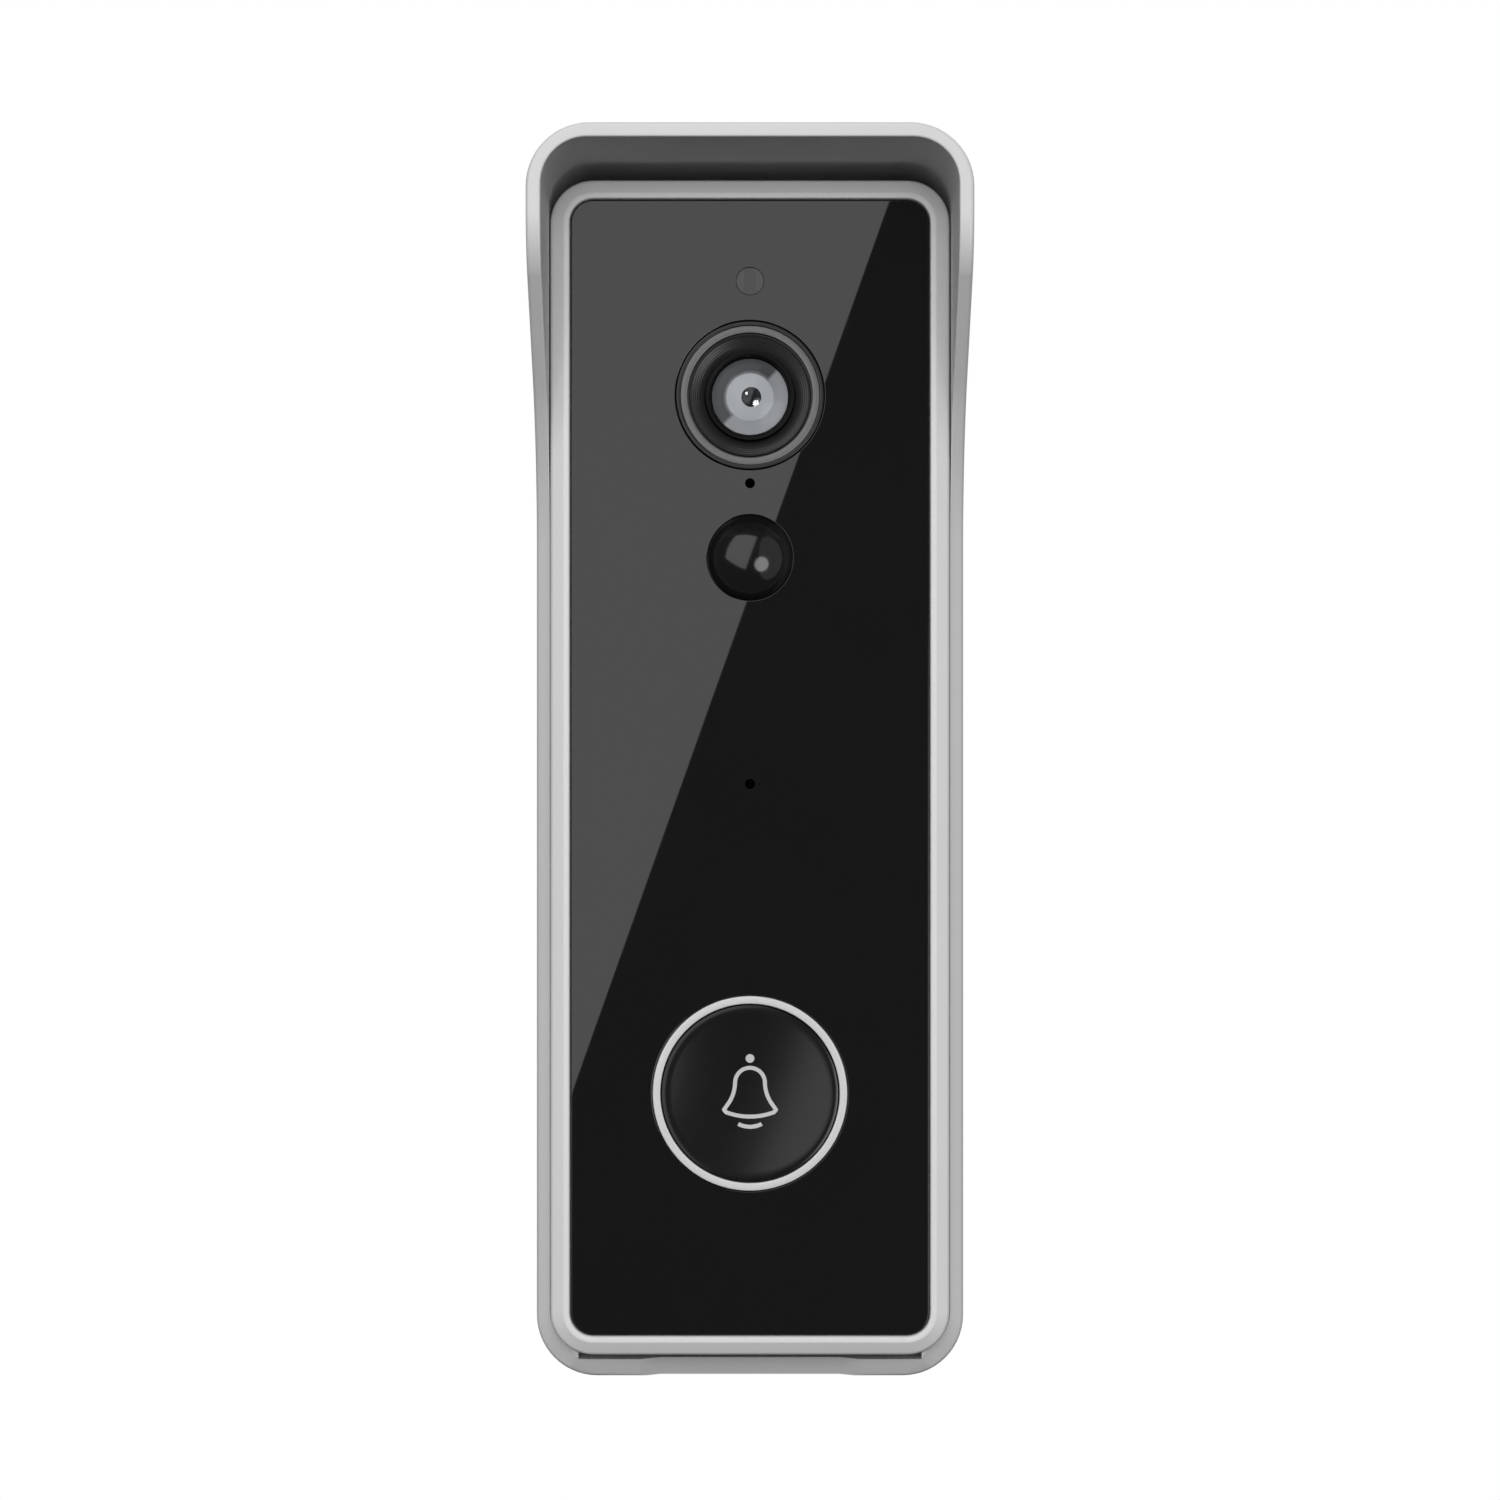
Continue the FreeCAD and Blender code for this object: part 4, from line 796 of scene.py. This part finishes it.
def build_front_frame(scene):
    """Model the silver frame with its sloping bezel"""
    shape = scene.doorbell_shape
    # Its section goes ring by ring from the outer wall over the bezel to the ledge.
    item = start_outline("front_frame_moulded", BODY_WIDE, BODY_TALL, shape.body_corner,
                         FRAME_BACK, BODY_MIDDLE, shape.corner_steps)
    ledge, land, ledge_thick = PANEL_BACK - 0.2 * MM, shape.bezel_land, 1.5 * MM
    pull(forward=FRONT - shape.bezel_fall - FRAME_BACK)
    inset(shape.bezel_slope, shape.bezel_fall)
    inset(land)
    inset(shape.bezel_lip, FACE - FRONT)
    pull(forward=ledge - FACE)
    inset(shape.ledge)
    pull(forward=-ledge_thick)
    across = shape.bezel_slope + land + shape.bezel_lip + shape.ledge
    bpy.ops.mesh.delete(type="ONLY_FACE")
    choose("FACE", lambda face: abs(face.calc_center_median().y + FRAME_BACK) < 0.01 * MM)
    bpy.ops.mesh.flip_normals()
    inset(shape.frame_wall)
    pull(forward=ledge - ledge_thick - FRAME_BACK)
    inset(across - shape.frame_wall)
    bpy.ops.mesh.delete(type="ONLY_FACE")
    select_all()
    bpy.ops.mesh.remove_doubles(threshold=0.02 * MM)
    bpy.ops.mesh.normals_make_consistent(inside=False)
    go_to("OBJECT")

    def outer_shoulder(edge):
        return all(abs(vert.co.y + FRONT - shape.bezel_fall) < 0.02 * MM for vert in edge.verts)

    edit(item, "EDGE", outer_shoulder)
    bpy.ops.mesh.bevel(affect="EDGES", offset=0.45 * MM, segments=5, profile=0.5)
    go_to("OBJECT")
    soften(item, 0.09 * MM, 2, 24)
    finish_piece(item, "doorbell", "silver_plastic", "front_frame",
                 slot="silver_plastic", angle=24)


def build_front_panel(scene):
    """Model the gloss panel and its openings"""
    shape = scene.doorbell_shape
    low, high = panel_low, panel_high
    item = slab("front_panel_glass", high.x - low.x, high.z - low.z, shape.body_corner - 2.5 * MM,
                PANEL_BACK, FACE, (high.z + low.z) / 2, shape.corner_steps)

    def bore(radius, z):
        return peg("bore", radius, PANEL_BACK - PAST, FACE + PAST, z)

    shape_with(item, [bore(8.9 * MM, CAMERA_Z), bore(5.1 * MM, MOTION_Z), bore(11.7 * MM, BUTTON_Z)])
    soften(item, shape.panel_edge)
    small = [bore(0.6 * MM, z) for z in (MICROPHONE_Z, LIGHT_Z)]
    shape_with(item, small + [bore(radius_of("sensor_window") - 0.9 * MM, WINDOW_Z)])
    finish_piece(item, "doorbell", "panel", "front_panel", slot="black_gloss")


def flanged_ring(name, node, outer, inner, z, steps):
    """A ring with a wider flange behind the panel."""
    back, front = depths(node)
    flange = radius_of(node)
    return turned(name, [(inner, back), (flange, back), (flange, PANEL_BACK), (outer, PANEL_BACK),
                         (outer, front), (inner, front)], z, steps)


def build_camera_rings(scene):
    """Model the camera's dark bezel, its grey ring and the ribbed infrared window"""
    shape = scene.doorbell_shape
    steps, z = shape.round_steps, CAMERA_Z
    flange = radius_of("camera_bezel")
    bezel = flanged_ring("camera_bezel_turned", "camera_bezel", flange - 0.5 * MM, flange - 1 * MM,
                         z, steps)
    soften(bezel, 0.08 * MM)
    finish_piece(bezel, "doorbell", "bezel", "camera_bezel", slot="black_gloss")

    back, front = depths("camera_ring")
    outer = radius_of("camera_ring")
    inner = outer - 0.8 * MM
    ring = turned("camera_ring_turned",
                  [(outer, back), (outer, front), (inner, front), (inner, back)], z, steps)
    soften(ring, 0.03 * MM, 2)
    finish_piece(ring, "doorbell", "grey_metal", "camera_ring", slot="grey_metal")

    back, front = depths("infrared_window")
    outer, inner = radius_of("infrared_window"), radius_of("lens_barrel") + 0.06 * MM
    section = [(outer, back), (outer, front - 0.5 * MM), (outer - 0.14 * MM, front - 0.5 * MM)]
    ribs = 7
    for rib in range(ribs):
        start = outer - 0.25 * MM - (outer - inner - 0.3 * MM) * rib / ribs
        fall = front - 0.05 * MM - 1.15 * MM * rib / ribs
        section += [(start, fall), (start - 0.2 * MM, fall - 0.14 * MM),
                    (start - 0.22 * MM, fall - 0.16 * MM)]
    section += [(inner, front - 1.3 * MM), (inner, back)]
    window = turned("infrared_window_ribbed", section, z, steps)
    finish_piece(window, "doorbell", "ribbed", "infrared_window", slot="black_gloss",
                 angle=60)


def arc_section(radius, rim_depth, height, steps):
    """(radius, depth) points over a dome, from its rim to just before its middle.

    A dish has a height below 0."""
    ball = (radius * radius + height * height) / (2 * abs(height))
    reach = math.asin(min(1, radius / ball))
    sign = 1 if height > 0 else -1
    apex = rim_depth + height
    return [(ball * math.sin(turn), apex - sign * ball * (1 - math.cos(turn)))
            for turn in (reach * (1 - step / steps) for step in range(steps))]


def build_camera_lens(scene):
    """Model the lens barrel, its glass, and the baffle, element and pupil behind it"""
    shape = scene.doorbell_shape
    steps, z = shape.round_steps, CAMERA_Z
    back, front = depths("lens_barrel")
    outer = radius_of("lens_barrel")
    glass_back, glass_front = depths("front_lens")
    bore = radius_of("front_lens") + 0.03 * MM
    throat = 4 * MM
    barrel = turned("lens_barrel_turned",
                    [(outer, back), (outer, front), (outer - 0.16 * MM, front),
                     (bore + 0.12 * MM, front - 0.12 * MM), (bore, front - 0.5 * MM),
                     (bore, glass_back), (throat, glass_back), (throat, back)], z, steps)
    soften(barrel, 0.05 * MM, 2)
    finish_piece(barrel, "doorbell", "barrel", "lens_barrel", slot="dark_plastic")

    radius = radius_of("front_lens")
    dome = arc_section(radius, glass_front - 0.9 * MM, 0.9 * MM, 14)
    rim = glass_front - 1.15 * MM
    hollow = arc_section(radius - 0.35 * MM, rim, 0.75 * MM, 14)
    shell = turned("front_lens_glass",
                   [(0, rim), *reversed(hollow), (radius, rim), *dome, (0, glass_front)], z, steps)
    finish_piece(shell, "doorbell", "lens_glass", "front_lens", slot="lens_glass",
                 angle=50)

    seat = glass_back + 0.05 * MM
    wide, narrow = radius - 0.1 * MM, 2.8 * MM
    baffle = turned("lens_baffle",
                    [(wide, seat), (wide, seat + 0.55 * MM), (wide - 0.35 * MM, seat + 0.5 * MM),
                     (narrow + 0.1 * MM, seat + 0.12 * MM), (narrow, seat)], z, steps)
    finish_piece(baffle, "doorbell", "baffle")

    across, low = narrow + 0.05 * MM, seat - 0.1 * MM
    curve = arc_section(across, seat + 0.1 * MM, 0.3 * MM, 10)
    element = turned("painted_reflection_element", [(0, low), (across, low), *curve, (0, seat + 0.4 * MM)],
                     z, steps)
    finish_piece(element, "doorbell", "element", "inner_lenses", slot="lens_glass",
                 angle=50)

    across, low = 1.2 * MM, seat + 0.2 * MM
    curve = arc_section(across, seat + 0.36 * MM, 0.26 * MM, 10)
    pupil = turned("lens_pupil", [(0, low), (across, low), *curve, (0, seat + 0.62 * MM)],
                   z, steps, 0.15 * MM)
    finish_piece(pupil, "doorbell", "pupil", angle=50)
    pupil_group().objects.link(pupil)


def build_motion_lens(scene):
    """Model the motion sensor's dome"""
    back, apex = depths("motion_lens")
    flange = radius_of("motion_lens")
    across = flange - 1.2 * MM
    section = [(0, back), (flange, back), (flange, PANEL_BACK), (across, PANEL_BACK),
               *arc_section(across, FACE, apex - FACE, 28), (0, apex)]
    item = turned("motion_lens_dome", section, MOTION_Z, scene.doorbell_shape.round_steps)
    finish_piece(item, "doorbell", "dome", "motion_lens", slot="black_gloss",
                 angle=40)


def build_sensor_window(scene):
    """Model the small smoked sensor window"""
    back, front = depths("sensor_window")
    flange = radius_of("sensor_window")
    across = flange - 0.92 * MM
    edge = 0.06 * MM
    section = [(0, back), (flange, back), (flange, PANEL_BACK), (across, PANEL_BACK),
               (across, front - edge), (across - edge, front), (0, front)]
    item = turned("sensor_window_turned", section, WINDOW_Z, 64)
    finish_piece(item, "doorbell", "smoked_window", "sensor_window",
                 slot="smoked_window")


def build_button(scene):
    """Model the button's light ring and dished cap"""
    shape = scene.doorbell_shape
    steps, z = shape.round_steps, BUTTON_Z
    cap = radius_of("button_cap")
    ring = flanged_ring("button_ring_turned", "button_ring", radius_of("button_ring") - 1.2 * MM,
                        cap + 0.17 * MM, z, steps)
    soften(ring, 0.13 * MM, 4)
    finish_piece(ring, "doorbell", "light_guide", "button_ring", slot="light_guide")

    back, front = depths("button_cap")
    boss, boss_front = 1.5 * MM, PANEL_BACK - 0.45 * MM
    edge, nick = 0.08 * MM, 0.02 * MM
    section = [(0, back), (boss, back), (boss, boss_front), (cap, boss_front), (cap, front - edge),
               (cap - nick, front - nick), (cap - edge, front), (cap - 0.45 * MM, front),
               *arc_section(cap - 0.7 * MM, front, -shape.dish, 20), (0, front - shape.dish)]
    face = turned("button_cap_turned", section, z, steps)
    finish_piece(face, "button", "cap", "button_cap", slot="black_gloss", angle=30)


def build_packed_parts(scene):
    """Give every packed part the finish of its material slot"""
    finishes = all_finishes()
    # Painted shade: the microphone and the status light pipe take the near-black hole finish in place
    # of their own, so their holes look dark.
    special = {"bell_icon": finishes["icon"], "microphone": finishes["deep"],
               "status_light_pipe": finishes["deep"]}
    for part in frame["record"]["subparts"]:
        item = frame["nodes"][part["node"]]
        finish = special.get(part["node"], finishes[part["material_slot"]])
        if not item.material_slots:
            item.data.materials.append(finish)
        for place in item.material_slots:
            place.material = finish


# ---- studio
def aim(item, target):
    item.rotation_euler = (Vector(target) - item.location).to_track_quat("-Z", "Y").to_euler()


def softbox(name, place, wide, tall, brightness, target=(0, 0, 0), shape="RECTANGLE",
            glossy=True, diffuse=True):
    """A light of an even surface brightness."""
    data = bpy.data.lights.new(name, "AREA")
    data.shape, data.size, data.size_y = shape, wide, tall
    area = wide * tall * (math.pi / 4 if shape in ("DISK", "ELLIPSE") else 1)
    data.energy = brightness * math.pi * area
    item = bpy.data.objects.new(name, data)
    bpy.context.scene.collection.objects.link(item)
    item.location = place
    aim(item, target)
    item.visible_camera = False
    item.visible_glossy, item.visible_diffuse = glossy, diffuse
    return item


def pupil_group():
    """The collection that the two glint lamps light."""
    return bpy.data.collections.get("lens pupil") or bpy.data.collections.new("lens pupil")


def light_world(scene):
    """White behind the object, a dim shine in reflections, and a soft fill.

    The fill comes from above and in front, and fades below and behind."""
    world = bpy.data.worlds.new("studio")
    scene.world = world
    world.use_nodes = True
    tree = world.node_tree
    tree.nodes.clear()

    def new(kind):
        return tree.nodes.new(f"ShaderNode{kind}")

    looks = {}
    for key, level in {"seen": 1.0, "gloss": 0.12, "fill": 1.0}.items():
        looks[key] = new("Background")
        looks[key].inputs["Color"].default_value = (level, level, level, 1)
    ways, both = new("SeparateXYZ"), new("Math")
    both.operation = "MULTIPLY"
    tree.links.new(new("TexCoord").outputs["Generated"], ways.inputs[0])
    spans = {"Z": (-0.35, 0.25, 0.06, 0.72), "Y": (-0.15, 0.35, 1.0, 0.42)}
    for (axis, numbers), socket in zip(spans.items(), both.inputs):
        span = new("MapRange")
        set_span(span, *numbers)
        tree.links.new(ways.outputs[axis], span.inputs["Value"])
        tree.links.new(span.outputs["Result"], socket)
    tree.links.new(both.outputs[0], looks["fill"].inputs["Strength"])
    path, shine, direct = new("LightPath"), new("MixShader"), new("MixShader")
    for mix, factor, first, second in ((shine, "Is Glossy Ray", looks["fill"], looks["gloss"]),
                                       (direct, "Is Camera Ray", shine, looks["seen"])):
        tree.links.new(path.outputs[factor], mix.inputs[0])
        tree.links.new(first.outputs[0], mix.inputs[1])
        tree.links.new(second.outputs[0], mix.inputs[2])
    tree.links.new(direct.outputs[0], new("OutputWorld").inputs["Surface"])


def build_stage(scene):
    """Set up the camera, the lights and the floor"""
    scene.view_settings.view_transform = "Standard"
    camera = bpy.data.cameras.new("camera")
    camera.lens, camera.sensor_width, camera.clip_start = 81.4, 36, 0.01
    view = bpy.data.objects.new("camera", camera)
    view.location, view.rotation_euler = (0, -0.434, 0.00175), (FRONT_VIEW, 0, 0)
    scene.collection.objects.link(view)
    scene.camera = view
    light_world(scene)

    # The slanting edge of the main softbox runs up the panel as one straight reflection.
    lean = math.radians(19.6)
    wide, tall, away = 1.5, 1.7, 0.9
    edge = Vector((0.1029, 0.35))
    left = Vector((-math.cos(lean), math.sin(lean)))
    centre = edge + left * wide / 2
    key = softbox("key", (centre.x, -away, centre.y), wide, tall, 1.65, diffuse=False)
    key.rotation_euler = (FRONT_VIEW, lean, 0)
    softbox("front", (0, -1.1, 0.22), 0.7, 0.7, 4.3, glossy=False)
    softbox("side", (0.79, -0.64, 0.02), 1.2, 2.2, 0.42, (0, 0, 0.02), "ELLIPSE", diffuse=False)
    for name, place, wide in (("glint", (0.34, -0.75, -0.33), 0.46),
                              ("small glint", (-0.33, -0.75, 0.36), 0.2)):
        lamp = softbox(name, place, wide, wide, 50, (0, 0, CAMERA_Z), "DISK", diffuse=False)
        lamp.light_linking.receiver_collection = pupil_group()
    softbox("spot", (0.40, -0.75, -0.20), 0.52, 0.52, 4.4, (0, 0, 0.02), "DISK", diffuse=False)

    clear_selection()
    bpy.ops.mesh.primitive_circle_add(vertices=96, radius=0.24, fill_type="NGON",
                                      location=(0, -0.128, -0.13))
    floor = settle(named("floor"))
    finish = Finish("Pale floor", scene.doorbell_finish.floor, 0.8)
    finish.shade(finish.noise(12, 3), 0.985, 1.01).rub(finish.noise(60, 3), 0.72, 0.85)
    floor.data.materials.append(finish.bump(finish.noise(800, 3), 0.02 * MM, 0.3).material)
    floor.visible_diffuse = floor.visible_glossy = False


# ---- the add-on ----------------------------------------------------------------------------------
shared = {}


def outside_finishes(tones):
    """The finishes that only some of the visual pieces have."""
    deep, barrel = [0.0008] * 3, [0.0012] * 3
    return {
        "dome": satin_black(tones, "Sensor dome black", 0.13),
        "cap": satin_black(tones, "Dished cap black", 0.17, 0.33),
        "bezel": satin_black(tones, "Camera bezel black", 0.32, 0.4),
        "panel": noisy("Gloss black panel", tones.black, 0.03, (80, 2, 0.92, 1.08),
                       (420, 6, 0.004, 0.014)),
        # Painted shade: the cover takes a darker copy of the body's satin silver.
        "cover": satin_silver("Satin silver cover", tones.cover_silver),
        "ribbed": noisy("Smoked infrared window", (0.020, 0.020, 0.0205), 0.3,
                        (500, 3, 0.9, 1.1), (1500, 3, 0.26, 0.36), (4000, 2, 0.003 * MM, 0.3)),
        "barrel": noisy("Blackened barrel", barrel, 0.5, (900, 2, 0.8, 1.2), None,
                        (5000, 2, 0.003 * MM, 0.3), Specular_IOR_Level=0.12),
        "baffle": baffle_grey(),
        # Painted reflection: the inner element is painted light grey to stand for the light that it
        # reflects inside the lens.
        "element": noisy("Lens element with painted reflection", (0.80, 0.80, 0.81), 0.35, (900, 2, 0.97, 1.03),
                         (2200, 2, 0.3, 0.4), (5000, 2, 0.002 * MM, 0.3)),
        "pupil": noisy("Lens pupil", (0.028, 0.028, 0.03), 0.03, (1200, 2, 0.9, 1.1),
                       (1500, 2, 0.02, 0.06)),
        # Painted shade: the microphone and the status light pipe at the bottom of the two small holes
        # are painted almost pure black with no gloss, so the holes look dark.
        "deep": noisy("Painted hole shade", deep, 0.8, (900, 2, 0.8, 1.2), Specular_IOR_Level=0.0),
        "icon": milky_light("Printed bell", (0.56, 0.56, 0.56)),
    }


def all_finishes():
    """The finishes, made once."""
    if not shared:
        tones = bpy.context.scene.doorbell_finish
        shared.update(slot_finishes(tones), **outside_finishes(tones))
    return shared


def operator(build):
    """An operator that runs one builder, with its name and description."""
    key = build.__name__.removeprefix("build_")

    def execute(self, context):
        build(context.scene)
        return {"FINISHED"}

    return type(f"DOORBELL_OT_{key}", (bpy.types.Operator,),
                {"__doc__": build.__doc__, "bl_idname": f"doorbell.{key}",
                 "bl_label": key.replace("_", " ").capitalize(), "execute": execute})


OPERATORS = tuple(operator(build) for build in (
    build_stage, build_packed_parts, build_rain_cover, build_lock_screw, build_front_frame,
    build_front_panel, build_camera_rings, build_camera_lens, build_motion_lens,
    build_sensor_window, build_button))


class DOORBELL_PT_panel(bpy.types.Panel):
    """Lists the doorbell's pieces and their sizes"""
    bl_idname = "DOORBELL_PT_panel"
    bl_label = "Video doorbell"
    bl_space_type = "VIEW_3D"
    bl_region_type = "UI"
    bl_category = "Doorbell"

    def draw(self, context):
        for step in OPERATORS:
            self.layout.operator(step.bl_idname)
        for group in (context.scene.doorbell_shape, context.scene.doorbell_finish):
            box = self.layout.box()
            for key in group.__annotations__:
                box.prop(group, key)


CLASSES = (DoorbellShape, DoorbellFinish, *OPERATORS, DOORBELL_PT_panel)


def register():
    for item in CLASSES:
        bpy.utils.register_class(item)
    bpy.types.Scene.doorbell_shape = PointerProperty(type=DoorbellShape)
    bpy.types.Scene.doorbell_finish = PointerProperty(type=DoorbellFinish)


def unregister():
    del bpy.types.Scene.doorbell_shape
    del bpy.types.Scene.doorbell_finish
    for item in reversed(CLASSES):
        bpy.utils.unregister_class(item)


def main():
    register()
    for step in OPERATORS:
        getattr(bpy.ops.doorbell, step.bl_idname.removeprefix("doorbell."))()


if __name__ == "__main__":
    main()
